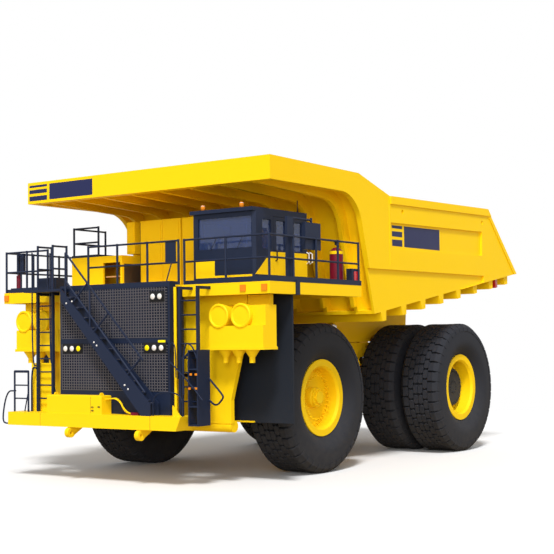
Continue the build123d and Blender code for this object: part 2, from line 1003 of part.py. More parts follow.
# Mirrors: a large one on an arm over the left deck rail, a small one on a post at the right front
mirror_top = 5560
mirror_bottom = 4980
mirror_arm_height = 5640
mirror_post = (8830, 9050)
mirror_post_half = 30
mirror_rear = 7800
mirror_front = 8400
mirror_hang = (mirror_rear + mirror_front) / 2
mirror_inset = 116
mirror_y = deck_half_width - mirror_inset
mirror_depth = 96
mirror_sink = 40
right_mirror_station = 9640
right_mirror_inset = 390
right_mirror_y = right_mirror_inset - deck_half_width
right_mirror_bottom = 4700
right_mirror_top = 5200
right_mirror_width = 60
right_mirror_spread = 85
right_mirror_depth = 70
with BuildPart() as mirrors:
    block(
        mirror_rear,
        mirror_front,
        mirror_y - mirror_depth / 2,
        mirror_y + mirror_depth / 2,
        mirror_bottom,
        mirror_top,
    )
    block(*mirror_post, mirror_y - mirror_post_half, mirror_y + mirror_post_half, deck_top, mirror_arm_height)
    arm_height = mirror_arm_height - rail_tube
    rod((mirror_post[0], mirror_y, arm_height), (mirror_hang, mirror_y, arm_height), rail_tube)
    upright(mirror_hang, mirror_y, mirror_top - mirror_sink, mirror_arm_height + rail_post, rail_post)
    upright(right_mirror_station, right_mirror_y, deck_top, right_mirror_top - mirror_sink, rail_tube)
    strips = (right_mirror_y - right_mirror_spread, right_mirror_y + right_mirror_spread)
    for y in strips:
        block(
            right_mirror_station - right_mirror_depth / 2,
            right_mirror_station + right_mirror_depth / 2,
            y - right_mirror_width / 2,
            y + right_mirror_width / 2,
            right_mirror_bottom,
            right_mirror_top,
        )
    for z in (right_mirror_bottom + mirror_sink, right_mirror_top - mirror_sink):
        rod((right_mirror_station, strips[0], z), (right_mirror_station, strips[1], z), rail_tube)
save(mirrors, "mirrors")

# Cab: floor, front, sides, rear and roof panels with their windows cut
cab_base = deck_top + cab_wall
cab_eaves = cab_top - cab_wall
window_sill = 5000
window_head = 5640
screen_sill = 5030
screen_head = 5700
screen_right_edge = 180
screen_left_edge = 80
rear_window_edge = 300
wind_screen = (cab_right + screen_right_edge, cab_left - screen_left_edge, screen_sill, screen_head)
rear_window = (cab_right + rear_window_edge, cab_left - rear_window_edge, window_sill, window_head)
side_windows = [(8640, 8960), (7440, 7770)]
right_windows = [(7900, 8900)]


def cab_plan(rear):
    """Outline of the cab in plan from some station forward, with its two front corners cut off."""
    corner = cab_front_station - cab_corner
    return [
        (rear, cab_right),
        (corner, cab_right),
        (cab_front_station, cab_right + cab_corner),
        (cab_front_station, cab_left - cab_corner),
        (corner, cab_left),
        (rear, cab_left),
    ]


with BuildPart() as cab_floor:
    plan_plate(cab_plan(cab_rear_station), deck_top, cab_base)
save(cab_floor, "cab_floor")

with BuildPart() as cab_front:
    plan_plate(cab_plan(cab_front_station - cab_wall), cab_base, cab_eaves)
    block(cab_front_station - cab_wall, cab_front_station, *wind_screen, mode=Mode.SUBTRACT)
save(cab_front, "cab_front")

hinge_heights = (door_sill + hinge_low, door_top - hinge_high)
with BuildPart() as cab_sides:
    for y0, windows in ((cab_left - cab_wall, side_windows), (cab_right, right_windows)):
        block(cab_rear_station, cab_front_station - cab_wall, y0, y0 + cab_wall, cab_base, cab_eaves)
        for x0, x1 in windows:
            block(x0, x1, y0, y0 + cab_wall, window_sill, window_head, mode=Mode.SUBTRACT)
    block(door_rear, door_front, cab_left - cab_wall, cab_left, door_sill, door_top, mode=Mode.SUBTRACT)
    for z in hinge_heights:
        block(
            door_rear - 3 * hinge_radius,
            door_rear,
            cab_left,
            cab_left + hinge_out,
            z,
            z + hinge_knuckle,
        )
        upright(door_rear, cab_left + hinge_out, z, z + hinge_knuckle, hinge_radius)
save(cab_sides, "cab_sides")

with BuildPart() as cab_rear:
    block(
        cab_rear_station,
        cab_rear_station + cab_wall,
        cab_right + cab_wall,
        cab_left - cab_wall,
        cab_base,
        cab_eaves,
    )
    block(cab_rear_station, cab_rear_station + cab_wall, *rear_window, mode=Mode.SUBTRACT)
save(cab_rear, "cab_rear")

with BuildPart() as cab_roof:
    block(cab_rear_station, cab_front_station + cab_roof_visor, cab_right, cab_left, cab_eaves, cab_top)
save(cab_roof, "cab_roof")

glass_in = (cab_wall - glass_thickness) / 2
with BuildPart() as cab_glass:
    block(cab_front_station - cab_wall + glass_in, cab_front_station - glass_in, *wind_screen)
    for x0, x1 in side_windows:
        block(x0, x1, cab_left - cab_wall + glass_in, cab_left - glass_in, window_sill, window_head)
    for x0, x1 in right_windows:
        block(x0, x1, cab_right + glass_in, cab_right + cab_wall - glass_in, window_sill, window_head)
    block(cab_rear_station + glass_in, cab_rear_station + cab_wall - glass_in, *rear_window)
save(cab_glass, "cab_glass")

# Inside the cab: dash with steering wheel and column, and the seat on its pedestal
dash_rear = 8850
dash_top = 4960
seat_y = (cab_right + cab_left) / 2
seat_half_width = 275
seat_rear = 7620
seat_front = 8250
seat_bottom = 4640
seat_top = 4800
seat_back_thickness = 140
seat_back_top = 5450
pedestal_inset = 90
column_root = (dash_rear, seat_y, 4900)
column_head = (8640, seat_y, 5060)
column_radius = 30
steering_wheel_radius = 210
steering_wheel_rim = 24
column_length = hypot(column_head[0] - column_root[0], column_head[2] - column_root[2])
wheel_share = steering_wheel_rim / column_length
wheel_back = tuple(b + (a - b) * wheel_share for a, b in zip(column_root, column_head))
with BuildPart() as cab_interior:
    block(
        dash_rear,
        cab_front_station - cab_wall,
        cab_right + cab_wall,
        cab_left - cab_wall,
        cab_base,
        dash_top,
    )
    rod(column_root, column_head, column_radius)
    rod(wheel_back, column_head, steering_wheel_radius)
    block(
        seat_rear + pedestal_inset,
        seat_front - pedestal_inset,
        seat_y - seat_half_width + pedestal_inset,
        seat_y + seat_half_width - pedestal_inset,
        cab_base,
        seat_bottom,
    )
save(cab_interior, "cab_interior")

seat_sides = (seat_y - seat_half_width, seat_y + seat_half_width)
with BuildPart() as cab_seat:
    block(seat_rear, seat_front, *seat_sides, seat_bottom, seat_top)
    block(seat_rear, seat_rear + seat_back_thickness, *seat_sides, seat_top, seat_back_top)
save(cab_seat, "cab_seat")

door_frame = 110
door_window = (door_rear + door_frame, door_front - door_frame)
with BuildPart() as cab_door:
    block(
        door_rear + door_gap,
        door_front - door_gap,
        cab_left - cab_wall,
        cab_left,
        door_sill + door_gap,
        door_top - door_gap,
    )
    block(*door_window, cab_left - cab_wall, cab_left, window_sill, window_head, mode=Mode.SUBTRACT)
    for z in hinge_heights:
        leaf = (z + hinge_knuckle + thrust_gap, z + 2 * hinge_knuckle)
        block(door_rear, door_rear + 3 * hinge_radius, cab_left, cab_left + hinge_out, *leaf)
        upright(door_rear, cab_left + hinge_out, *leaf, hinge_radius)
save(cab_door, "cab_door")

with BuildPart() as door_glass:
    block(*door_window, cab_left - cab_wall + glass_in, cab_left - glass_in, window_sill, window_head)
save(door_glass, "door_glass")

# Side tanks between the axles: a long one for fuel on the right, a short one for oil on the left
tank_inner = 1280
tank_bottom = 1150
tank_top = 2550
tank_edge = 160
fuel_tank_rear = 1980
fuel_tank_front = 3780
fuel_tank_width = 1370
oil_tank_rear = 3220
oil_tank_front = 3980
oil_tank_width = 720
tank_bracket = 120
tank_bracket_inset = 150
tank_bracket_bottom = 2050
tank_bracket_top = 2200
with BuildPart() as side_tanks:
    for s, rear, front, width in (
        (1, oil_tank_rear, oil_tank_front, oil_tank_width),
        (-1, fuel_tank_rear, fuel_tank_front, fuel_tank_width),
    ):
        far_side = max(s * tank_inner, s * (tank_inner + width))
        with BuildSketch(Plane.XZ.offset(-far_side)) as tank_section:
            with Locations((st((rear + front) / 2), (tank_bottom + tank_top) / 2)):
                RectangleRounded(front - rear, tank_top - tank_bottom, tank_edge)
        extrude(tank_section.sketch, amount=width)
        for station in (rear + tank_bracket_inset, front - tank_bracket_inset - tank_bracket):
            block(
                station,
                station + tank_bracket,
                s * rail_outer,
                s * tank_inner,
                tank_bracket_bottom,
                tank_bracket_top,
            )
save(side_tanks, "side_tanks")

# Front struts on the frame, with the columns that carry the deck
strut_web_half = 170
strut_web_foot = 1750
strut_web_lift = 40
strut_web_drop = 150
deck_column_half = 150
deck_column_sink = 50
with BuildPart() as front_struts:
    for s in sides:
        upright(front_axle, s * strut_y, strut_bottom, strut_top, strut_radius)
        front_plate(
            [
                (s * rail_outer, strut_web_foot),
                (s * (strut_y - strut_radius - strut_web_lift), strut_bottom + strut_web_lift),
                (s * strut_y, strut_bottom + strut_web_lift),
                (s * strut_y, strut_top - strut_web_drop),
                (s * (strut_y - strut_radius), strut_top - strut_web_drop),
                (s * rail_outer, frame_front_top),
            ],
            front_axle - strut_web_half,
            front_axle + strut_web_half,
        )
        block(
            deck_rear + deck_beam_width,
            front_axle + strut_radius,
            s * (strut_y - deck_column_half),
            s * (strut_y + deck_column_half),
            strut_top - deck_column_sink,
            deck_under,
        )
save(front_struts, "front_struts")

# Rear axle housing with its nose, and the rear struts above it
axle_bulge_radius = 620
axle_tube_radius = 430
axle_spindle_radius = 300
rear_disc_inner = rear_tyre_y + rear_disc_offset - disc_thickness / 2
axle_pad_top = 2090
axle_bulge_end = 500
axle_tube_start = 860
axle_tube_end = 1900
axle_spindle_start = 1950
nose_root_station = 300
nose_root_half = 350
nose_tip_half = 130
nose_half_width = 300
with BuildPart() as rear_axle_housing:
    half = [
        (axle_bulge_end, axle_bulge_radius),
        (axle_tube_start, axle_tube_radius),
        (axle_tube_end, axle_tube_radius),
        (axle_spindle_start, axle_spindle_radius),
        (rear_disc_inner - thrust_gap, axle_spindle_radius),
    ]
    turned(
        [(-half[-1][0], 0)]
        + [(-y, r) for y, r in reversed(half)]
        + half
        + [(half[-1][0], 0)],
        0,
        hub_height,
    )
    side_plate(
        [
            (nose_root_station, hub_height - nose_root_half),
            (nose_root_station, hub_height + nose_root_half),
            (axle_nose_station - cross_tube_radius - seat_gap, axle_nose_height + nose_tip_half),
            (axle_nose_station - cross_tube_radius - seat_gap, axle_nose_height - nose_tip_half),
        ],
        -nose_half_width,
        nose_half_width,
    )
    for s in sides:
        block(
            rear_strut_station - rear_cross_half,
            rear_strut_station + rear_cross_half,
            s * (rear_strut_y - rear_strut_radius),
            s * (rear_strut_y + rear_strut_radius),
            hub_height,
            axle_pad_top,
        )
save(rear_axle_housing, "rear_axle_housing")

with BuildPart() as rear_struts:
    for s in sides:
        upright(rear_strut_station, s * rear_strut_y, axle_pad_top, frame_rear_bottom, rear_strut_radius)
save(rear_struts, "rear_struts")

# Steering knuckles: kingpin collar, spindle, tie arm behind and cylinder arm inboard
front_disc_inner = front_tyre_y + front_disc_offset - disc_thickness / 2
for s, name in ((1, "knuckle_left"), (-1, "knuckle_right")):
    with BuildPart() as knuckle:
        upright(front_axle, s * strut_y, knuckle_bottom, strut_bottom - thrust_gap, knuckle_radius)
        cross_pin(
            front_axle,
            s * strut_y,
            s * (front_disc_inner - thrust_gap),
            hub_height,
            spindle_radius,
        )
        arm_top = tie_height - tie_eye_thickness / 2 - seat_gap
        block(
            front_axle - tie_arm,
            front_axle,
            s * strut_y - tie_eye_radius,
            s * strut_y + tie_eye_radius,
            knuckle_bottom,
            arm_top,
        )
        upright(front_axle - tie_arm, s * strut_y, knuckle_bottom, arm_top, tie_eye_radius)
        upright(front_axle - tie_arm, s * strut_y, arm_top, arm_top + tie_eye_thickness, tie_pin_radius)
        for z0 in (
            steer_height - steer_eye_thickness / 2 - seat_gap - steer_plate,
            steer_height + steer_eye_thickness / 2 + seat_gap,
        ):
            block(
                front_axle - steer_eye_radius,
                front_axle + steer_eye_radius,
                s * (strut_y - steer_arm),
                s * strut_y,
                z0,
                z0 + steer_plate,
            )
            upright(front_axle, s * (strut_y - steer_arm), z0, z0 + steer_plate, steer_eye_radius)
    save(knuckle, name)

# Tie rod between the two knuckles
with BuildPart() as tie_rod:
    for s in sides:
        z0 = tie_height - tie_eye_thickness / 2
        upright(front_axle - tie_arm, s * strut_y, z0, z0 + tie_eye_thickness, tie_eye_radius)
    rod(
        (front_axle - tie_arm, -strut_y, tie_height),
        (front_axle - tie_arm, strut_y, tie_height),
        tie_rod_radius,
    )
    for s in sides:
        z0 = tie_height - tie_eye_thickness / 2
        upright(
            front_axle - tie_arm,
            s * strut_y,
            z0,
            z0 + tie_eye_thickness,
            tie_pin_radius + bearing_gap,
            mode=Mode.SUBTRACT,
        )
save(tie_rod, "tie_rod")

# Steering cylinders beside the rails: barrel pinned to the frame ahead, rod eye at the knuckle
barrel_end = steer_base_station - steer_barrel_length
steer_barrel_floor = 40
with BuildPart() as steer_brackets:
    for s in sides:
        for z0 in (
            steer_height - steer_eye_thickness / 2 - seat_gap - steer_plate,
            steer_height + steer_eye_thickness / 2 + seat_gap,
        ):
            block(
                steer_base_station - steer_eye_radius,
                steer_base_station + steer_eye_radius,
                s * rail_outer,
                s * steer_y,
                z0,
                z0 + steer_plate,
            )
            upright(steer_base_station, s * steer_y, z0, z0 + steer_plate, steer_eye_radius)
save(steer_brackets, "steer_brackets")

with BuildPart() as steer_barrels:
    for s in sides:
        upright(
            steer_base_station,
            s * steer_y,
            steer_height - steer_eye_thickness / 2,
            steer_height + steer_eye_thickness / 2,
            steer_eye_radius,
        )
        rod(
            (steer_base_station, s * steer_y, steer_height),
            (steer_base_station - 2 * steer_eye_radius, s * steer_y, steer_height),
            steer_neck_radius,
        )
        rod(
            (steer_base_station - 2 * steer_eye_radius, s * steer_y, steer_height),
            (barrel_end, s * steer_y, steer_height),
            steer_barrel_radius,
        )
        rod(
            (steer_base_station - 2 * steer_eye_radius - steer_barrel_floor, s * steer_y, steer_height),
            (barrel_end, s * steer_y, steer_height),
            steer_rod_radius + bearing_gap,
            mode=Mode.SUBTRACT,
        )
save(steer_barrels, "steer_barrels")

for s, side in ((1, "left"), (-1, "right")):
    with BuildPart() as steer_rod:
        upright(
            front_axle,
            s * steer_y,
            steer_height - steer_eye_thickness / 2,
            steer_height + steer_eye_thickness / 2,
            steer_eye_radius,
        )
        rod(
            (front_axle, s * steer_y, steer_height),
            (barrel_end + steer_rod_inside, s * steer_y, steer_height),
            steer_rod_radius,
        )
    save(steer_rod, f"steer_rod_{side}")


def tyre_ring(centre_y, station):
    """Tyre with flat facets round it: belly, shoulders and tread, dished to the beads."""
    turn = 180 / tyre_sides

    def ring(y, radius):
        plane = Plane(origin=(st(station), y, hub_height), x_dir=(1, 0, 0), z_dir=(0, 1, 0))
        with BuildSketch(plane) as section:
            RegularPolygon(radius, tyre_sides, rotation=90 + turn)
        return section.sketch

    outline = [
        (-tyre_width / 2, tyre_belly_radius),
        (-tyre_shoulder_width / 2, tyre_shoulder_radius),
        (-tyre_tread_width / 2, tyre_radius),
        (tyre_tread_width / 2, tyre_radius),
        (tyre_shoulder_width / 2, tyre_shoulder_radius),
        (tyre_width / 2, tyre_belly_radius),
    ]
    loft([ring(centre_y + y, r) for y, r in outline], ruled=True)
    bead_y = bead_width / 2 - seat_gap
    for s in sides:
        dish = [
            ring(centre_y + s * bead_y, rim_flange_radius + 2 * bearing_gap),
            ring(centre_y + s * tyre_width / 2, tyre_belly_radius - tyre_dish),
        ]
        loft(dish, ruled=True, mode=Mode.SUBTRACT)
    bore_radius = (bead_radius + seat_gap) / cos(pi / tyre_sides)
    bore = ring(centre_y - tyre_width / 2, bore_radius)
    extrude(bore, amount=tyre_width, dir=(0, 1, 0), mode=Mode.SUBTRACT)


def hub_profile(face, radius, bevel, steps=()):
    """(y, radius) points of a drum in a wheel: bevelled rim, then steps of (radius, height) on its face."""
    points = [(face - bevel, radius), (face, radius - bevel)]
    for step_radius, height in steps:
        points += [(face, step_radius), (face + height, step_radius)]
        face += height
    return points + [(face, 0)]


def rim_outline(centre, disc, hub, twin=False):
    """Half section of a wheel, as (y, radius) points: barrel, flanges, disc and the hub's profile."""
    half = bead_width / 2
    inner = bead_radius - rim_wall
    far = half + rim_flange_thickness
    back = centre - (dual_spacing if twin else 0)
    points = [
        (disc - disc_thickness / 2, 0),
        (disc - disc_thickness / 2, inner),
        (back - far, inner),
        (back - far, rim_flange_radius),
        (back - half, rim_flange_radius),
        (back - half, bead_radius),
    ]
    if twin:
        points += [
            (back + half, bead_radius),
            (back + half, rim_flange_radius),
            (back + far, rim_flange_radius),
            (back + far, bead_radius),
            (centre - far, bead_radius),
            (centre - far, rim_flange_radius),
            (centre - half, rim_flange_radius),
            (centre - half, bead_radius),
        ]
    points += [
        (centre + half, bead_radius),
        (centre + half, rim_flange_radius),
        (centre + far, rim_flange_radius),
        (centre + far, inner + rim_lip),
        (centre + far - rim_lip_length, inner),
        (disc + disc_thickness / 2, inner),
        (disc + disc_thickness / 2, hub[0][1]),
    ]
    return points + hub


# Wheels: a rim and tyre at each front corner, twin tyres on one rim at each rear corner
flange_reach_out = bead_width / 2 + rim_flange_thickness
front_hub = hub_profile(
    front_tyre_y + flange_reach_out - drum_depth,
    drum_radius,
    drum_bevel,
    ((hub_radius, hub_step), (cap_radius, cap_step)),
)
rear_hub = hub_profile(
    rear_tyre_y + flange_reach_out - motor_cover_depth,
    motor_cover_radius,
    motor_cover_bevel,
)
for s, side in ((1, "left"), (-1, "right")):
    with BuildPart() as front_rim:
        outline = rim_outline(front_tyre_y, front_tyre_y + front_disc_offset, front_hub)
        turned([(s * y, r) for y, r in outline], front_axle, hub_height)
    save(front_rim, f"front_rim_{side}")
    with BuildPart() as front_tyre:
        tyre_ring(s * front_tyre_y, front_axle)
    save(front_tyre, f"front_tyre_{side}")
    with BuildPart() as rear_rim:
        outline = rim_outline(rear_tyre_y, rear_tyre_y + rear_disc_offset, rear_hub, twin=True)
        turned([(s * y, r) for y, r in outline], 0, hub_height)
    save(rear_rim, f"rear_rim_{side}")
    with BuildPart() as rear_tyres:
        for y in (rear_tyre_y, rear_tyre_y - dual_spacing):
            tyre_ring(s * y, 0)
    save(rear_tyres, f"rear_tyres_{side}")

# Body: the floor slopes down to the front, the front wall leans forward into the canopy
floor_tilt = atan2(tail_height - body_floor_front_height, body_floor_front + tail_reach)
floor_run = Vector(-cos(floor_tilt), sin(floor_tilt))
floor_up = Vector(sin(floor_tilt), cos(floor_tilt))
floor_length = hypot(tail_height - body_floor_front_height, body_floor_front + tail_reach)
floor_foot = Vector(body_floor_front, body_floor_front_height)
hoist_top_height = (
    body_floor_front_height + (body_floor_front - hoist_top_station) * tan(floor_tilt) - hoist_top_drop
)
wall_angle = atan2(1, wall_lean)
wall_run = Vector(cos(wall_angle), sin(wall_angle))
wall_back = Vector(-sin(wall_angle), cos(wall_angle))
bend_centre = Vector(
    body_floor_front
    + (canopy_bottom - body_floor_front_height) * wall_lean
    + canopy_bend * tan(wall_angle / 2),
    canopy_bottom - canopy_bend,
)
side_inner = body_half_width - side_thickness
wall_depth = rib_depth + skin_plate


def floor_point(along, up):
    """(station, height) of a point on the floor: along it from its front edge, and up from its underside."""
    point = floor_foot + floor_run * along + floor_up * up
    return (point.X, point.Y)


def wall_foot(back):
    """Where the front wall's face, set back by some depth, meets the floor plate's top."""
    along = (floor_plate - back * wall_back.dot(floor_up)) / wall_run.dot(floor_up)
    point = floor_foot + wall_back * back + wall_run * along
    return (point.X, point.Y)


def bend_start(back):
    """Where the front wall, set back by some depth, starts to curve into the canopy."""
    point = bend_centre + wall_back * (canopy_bend + back)
    return (point.X, point.Y)


def wall_section(back0, back1):
    """Outline of the front wall between two depths."""
    return [wall_foot(back0), bend_start(back0), bend_start(back1), wall_foot(back1)]


def canopy_section(back0, back1, y0, y1):
    """Canopy between two depths: the bend, then level to the front lip."""

    def edge(back):
        start = bend_start(back)
        return (st(start[0]), start[1]), (st(bend_centre.X), canopy_bottom + back)

    low_start, low_end = edge(back0)
    high_start, high_end = edge(back1)
    lip = st(canopy_front - canopy_lip_depth)
    with BuildSketch(Plane.XZ.offset(-max(y0, y1))) as outline:
        with BuildLine():
            RadiusArc(low_start, low_end, canopy_bend + back0)
            Polyline(low_end, (lip, canopy_bottom + back0), (lip, canopy_bottom + back1), high_end)
            RadiusArc(high_start, high_end, canopy_bend + back1)
            Line(high_start, low_start)
        make_face()
    extrude(outline.sketch, amount=abs(y1 - y0))


rib_spacing = 2 * side_inner / rib_count
rib_places = [-side_inner + rib_spacing * (i + 0.5) for i in range(rib_count)]

sill_outline = [
    floor_point(body_floor_front - sill_front, 0),
    (sill_front, frame_rear_top + sill_gap),
    (pivot_station + pivot_eye_radius, frame_rear_top + sill_gap),
    (pivot_station - pivot_eye_radius, pivot_height),
    floor_point(body_floor_front - pivot_station + 2 * pivot_eye_radius, 0),
]
bolster_taper = 40
sill_pad = 400
sill_pad_inset = 20
bolster_step = (bolster_last - bolster_first) / (bolster_count - 1)
with BuildPart() as bed_floor:
    side_plate(
        [
            floor_point(0, 0),
            floor_point(floor_length, 0),
            floor_point(floor_length, floor_plate),
            floor_point(0, floor_plate),
        ],
        -side_inner,
        side_inner,
    )
    for i in range(bolster_count):
        along = bolster_first + i * bolster_step
        side_plate(
            [
                floor_point(along - bolster_width / 2, 0),
                floor_point(along + bolster_width / 2, 0),
                floor_point(along + bolster_width / 2 - bolster_taper, -bolster_depth),
                floor_point(along - bolster_width / 2 + bolster_taper, -bolster_depth),
            ],
            -body_half_width + side_recess,
            body_half_width - side_recess,
        )
    for s in sides:
        side_plate(sill_outline, s * (rail_inner + thrust_gap), s * (rail_outer - thrust_gap))
        block(
            sill_front - sill_pad,
            sill_front,
            s * (rail_inner + sill_pad_inset),
            s * (rail_outer - sill_pad_inset),
            frame_rear_top + seat_gap,
            frame_rear_top + sill_gap,
        )
        cross_pin(
            pivot_station,
            s * (rail_inner + thrust_gap),
            s * (rail_outer - thrust_gap),
            pivot_height,
            pivot_eye_radius,
        )
        cross_pin(
            pivot_station,
            s * rail_inner,
            s * rail_outer,
            pivot_height,
            pivot_pin_radius + bearing_gap,
            mode=Mode.SUBTRACT,
        )
        for y0, y1 in ((hoist_in - hoist_plate, hoist_in), (hoist_out, hoist_out + hoist_plate)):
            side_plate(
                [
                    (hoist_top_station - hoist_eye_radius, hoist_top_height),
                    (hoist_top_station + hoist_eye_radius, hoist_top_height),
                    floor_point(body_floor_front - hoist_top_station - 2 * hoist_eye_radius, 0),
                    floor_point(body_floor_front - hoist_top_station + 2 * hoist_eye_radius, 0),
                ],
                s * y0,
                s * y1,
            )
            cross_pin(hoist_top_station, s * y0, s * y1, hoist_top_height, hoist_eye_radius)
save(bed_floor, "bed_floor")

side_arc_start = bend_start(0)
upper_recess = [(4303, 5857), (-729, 5952), (-695, 5287), (4328, 5188)]
lower_recess = [(5400, 4707), (-792, 4739), (-784, 4570), (5400, 3500)]
top_rail_depth = 190
top_rail_out = 40
tail_flange_width = 160
tail_flange_out = 25
sling_hole_radius = 55
sling_holes = [(3725, 6157), (-736, 6208)]
tail_slope = (tail_top_station + tail_reach) / (tail_top_height - tail_height)
top_slope = (side_kink_height - tail_top_height) / (side_kink_station - tail_top_station)
top_rail = [
    (tail_top_station, tail_top_height),
    (side_kink_station, side_kink_height),
    (side_kink_station, side_kink_height - top_rail_depth),
    (tail_top_station - top_rail_depth * tail_slope, tail_top_height - top_rail_depth),
]
tail_flange = [
    (-tail_reach, tail_height),
    (tail_top_station, tail_top_height),
    (tail_top_station + tail_flange_width, tail_top_height + tail_flange_width * top_slope),
    floor_point(floor_length - tail_flange_width, 0),
]
with BuildPart() as bed_sides:
    for s in sides:
        with BuildSketch(Plane.XZ.offset(-max(s * side_inner, s * body_half_width))) as side_outline:
            with BuildLine():
                Polyline(
                    (st(side_arc_start[0]), side_arc_start[1]),
                    (st(body_floor_front), body_floor_front_height),
                    (st(-tail_reach), tail_height),
                    (st(tail_top_station), tail_top_height),
                    (st(side_kink_station), side_kink_height),
                    (st(canopy_kink_station), canopy_kink_height),
                    (st(canopy_front), canopy_top),
                    (st(canopy_front), canopy_bottom),
                    (st(bend_centre.X), canopy_bottom),
                )
                RadiusArc(
                    (st(side_arc_start[0]), side_arc_start[1]),
                    (st(bend_centre.X), canopy_bottom),
                    canopy_bend,
                )
            make_face()
        extrude(side_outline.sketch, amount=side_thickness)
        for recess in (upper_recess, lower_recess):
            side_plate(
                recess,
                s * (body_half_width - side_recess),
                s * body_half_width,
                mode=Mode.SUBTRACT,
            )
        for band, out in ((top_rail, top_rail_out), (tail_flange, tail_flange_out)):
            side_plate(band, s * body_half_width, s * (body_half_width + out))
        for station, z in sling_holes:
            cross_pin(
                station,
                s * side_inner,
                s * body_half_width,
                z,
                sling_hole_radius,
                mode=Mode.SUBTRACT,
            )
save(bed_sides, "bed_sides")

with BuildPart() as bed_front_wall:
    side_plate(wall_section(rib_depth, wall_depth), -side_inner, side_inner)
    for y in rib_places:
        side_plate(wall_section(0, rib_depth), y - rib_width / 2, y + rib_width / 2)
save(bed_front_wall, "bed_front_wall")

with BuildPart() as bed_canopy:
    canopy_section(rib_depth, wall_depth, -side_inner, side_inner)
    for y in rib_places:
        canopy_section(0, rib_depth, y - rib_width / 2, y + rib_width / 2)
    block(canopy_front - canopy_lip_depth, canopy_front, -side_inner, side_inner, canopy_bottom, canopy_top)
save(bed_canopy, "bed_canopy")

tail_lamp_station = -1900
tail_lamp_half = 60
tail_lamp_drop = 260
tail_lamp_width = 200
with BuildPart() as tail_lamps:
    lamp_along = body_floor_front - tail_lamp_station
    for s in sides:
        side_plate(
            [
                floor_point(lamp_along - tail_lamp_half, 0),
                floor_point(lamp_along + tail_lamp_half, 0),
                floor_point(lamp_along + tail_lamp_half, -tail_lamp_drop),
                floor_point(lamp_along - tail_lamp_half, -tail_lamp_drop),
            ],
            s * (side_inner - tail_lamp_width),
            s * side_inner,
        )
save(tail_lamps, "tail_lamps")

# Hoist cylinders: barrel, one telescopic stage and the rod, drawn at their closed length
hoist_angle = atan2(hoist_top_height - hoist_base_height, hoist_top_station - hoist_base_station)
hoist_length = hypot(hoist_top_height - hoist_base_height, hoist_top_station - hoist_base_station)


def hoist_point(along, y):
    """(station, y, height) of a point along a hoist cylinder, from its base pin."""
    return (
        hoist_base_station + along * cos(hoist_angle),
        y,
        hoist_base_height + along * sin(hoist_angle),
    )


barrel_foot = hoist_eye_radius + hoist_shoulder
bore_floor = hoist_eye_radius + hoist_bore_floor
stage_foot = bore_floor + seat_gap
stage_floor = stage_foot + hoist_stage_floor
with BuildPart() as hoist_barrels:
    for s in sides:
        y = s * hoist_y
        cross_pin(
            hoist_base_station,
            y - hoist_eye_thickness / 2,
            y + hoist_eye_thickness / 2,
            hoist_base_height,
            hoist_eye_radius,
        )
        rod(hoist_point(barrel_foot, y), hoist_point(hoist_barrel_length, y), hoist_barrel_radius)
        rod(hoist_point(0, y), hoist_point(barrel_foot, y), hoist_neck_radius)
        rod(
            hoist_point(bore_floor, y),
            hoist_point(hoist_barrel_length, y),
            hoist_stage_radius + hoist_wall_gap,
            mode=Mode.SUBTRACT,
        )
        cross_pin(
            hoist_base_station,
            y - hoist_eye_thickness / 2,
            y + hoist_eye_thickness / 2,
            hoist_base_height,
            hoist_pin_radius + bearing_gap,
            mode=Mode.SUBTRACT,
        )
save(hoist_barrels, "hoist_barrels")

stage_top = hoist_barrel_length + hoist_stage_show
with BuildPart() as hoist_stages:
    for s in sides:
        y = s * hoist_y
        rod(hoist_point(stage_foot, y), hoist_point(stage_top, y), hoist_stage_radius)
        rod(
            hoist_point(stage_floor, y),
            hoist_point(stage_top, y),
            hoist_rod_radius + hoist_wall_gap,
            mode=Mode.SUBTRACT,
        )
save(hoist_stages, "hoist_stages")

rod_shoulder = hoist_length - hoist_eye_radius - hoist_shoulder
with BuildPart() as hoist_rods:
    for s in sides:
        y = s * hoist_y
        rod(hoist_point(stage_floor + seat_gap, y), hoist_point(rod_shoulder, y), hoist_rod_radius)
        rod(hoist_point(rod_shoulder, y), hoist_point(hoist_length, y), hoist_neck_radius)
        cross_pin(
            hoist_top_station,
            y - hoist_eye_thickness / 2,
            y + hoist_eye_thickness / 2,
            hoist_top_height,
            hoist_eye_radius,
        )
save(hoist_rods, "hoist_rods")
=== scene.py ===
# %% [markdown]
# # A mining dump truck, dressed for a studio picture
# The truck's solids arrive finished, in metres, with +X forward, +Y to the driver's left and +Z up.
# This lesson gives every solid a finish, adds the small things that the solids leave out, such as
# tread blocks, wheel nuts, stripes and the fine mesh of the grille, and sets up floor, light and camera.

# %% Load the truck
import json

import bpy
import numpy as np
from mathutils import Matrix, Vector


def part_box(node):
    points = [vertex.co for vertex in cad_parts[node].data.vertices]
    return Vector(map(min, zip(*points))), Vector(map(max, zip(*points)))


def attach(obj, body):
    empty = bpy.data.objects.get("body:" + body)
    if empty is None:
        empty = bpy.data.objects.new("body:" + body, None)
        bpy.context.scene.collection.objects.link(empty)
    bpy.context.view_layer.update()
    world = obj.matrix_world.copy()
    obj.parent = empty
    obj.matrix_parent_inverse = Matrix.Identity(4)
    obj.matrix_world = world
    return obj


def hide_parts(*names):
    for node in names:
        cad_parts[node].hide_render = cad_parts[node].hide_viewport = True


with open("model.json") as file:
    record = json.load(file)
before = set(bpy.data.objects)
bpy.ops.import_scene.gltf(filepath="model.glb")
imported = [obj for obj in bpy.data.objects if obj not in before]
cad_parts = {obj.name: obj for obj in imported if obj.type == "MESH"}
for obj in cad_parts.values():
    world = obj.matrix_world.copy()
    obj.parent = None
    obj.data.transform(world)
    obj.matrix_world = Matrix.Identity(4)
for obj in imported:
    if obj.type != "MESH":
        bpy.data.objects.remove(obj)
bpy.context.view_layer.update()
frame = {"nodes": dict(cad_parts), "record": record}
nodes = frame["nodes"]
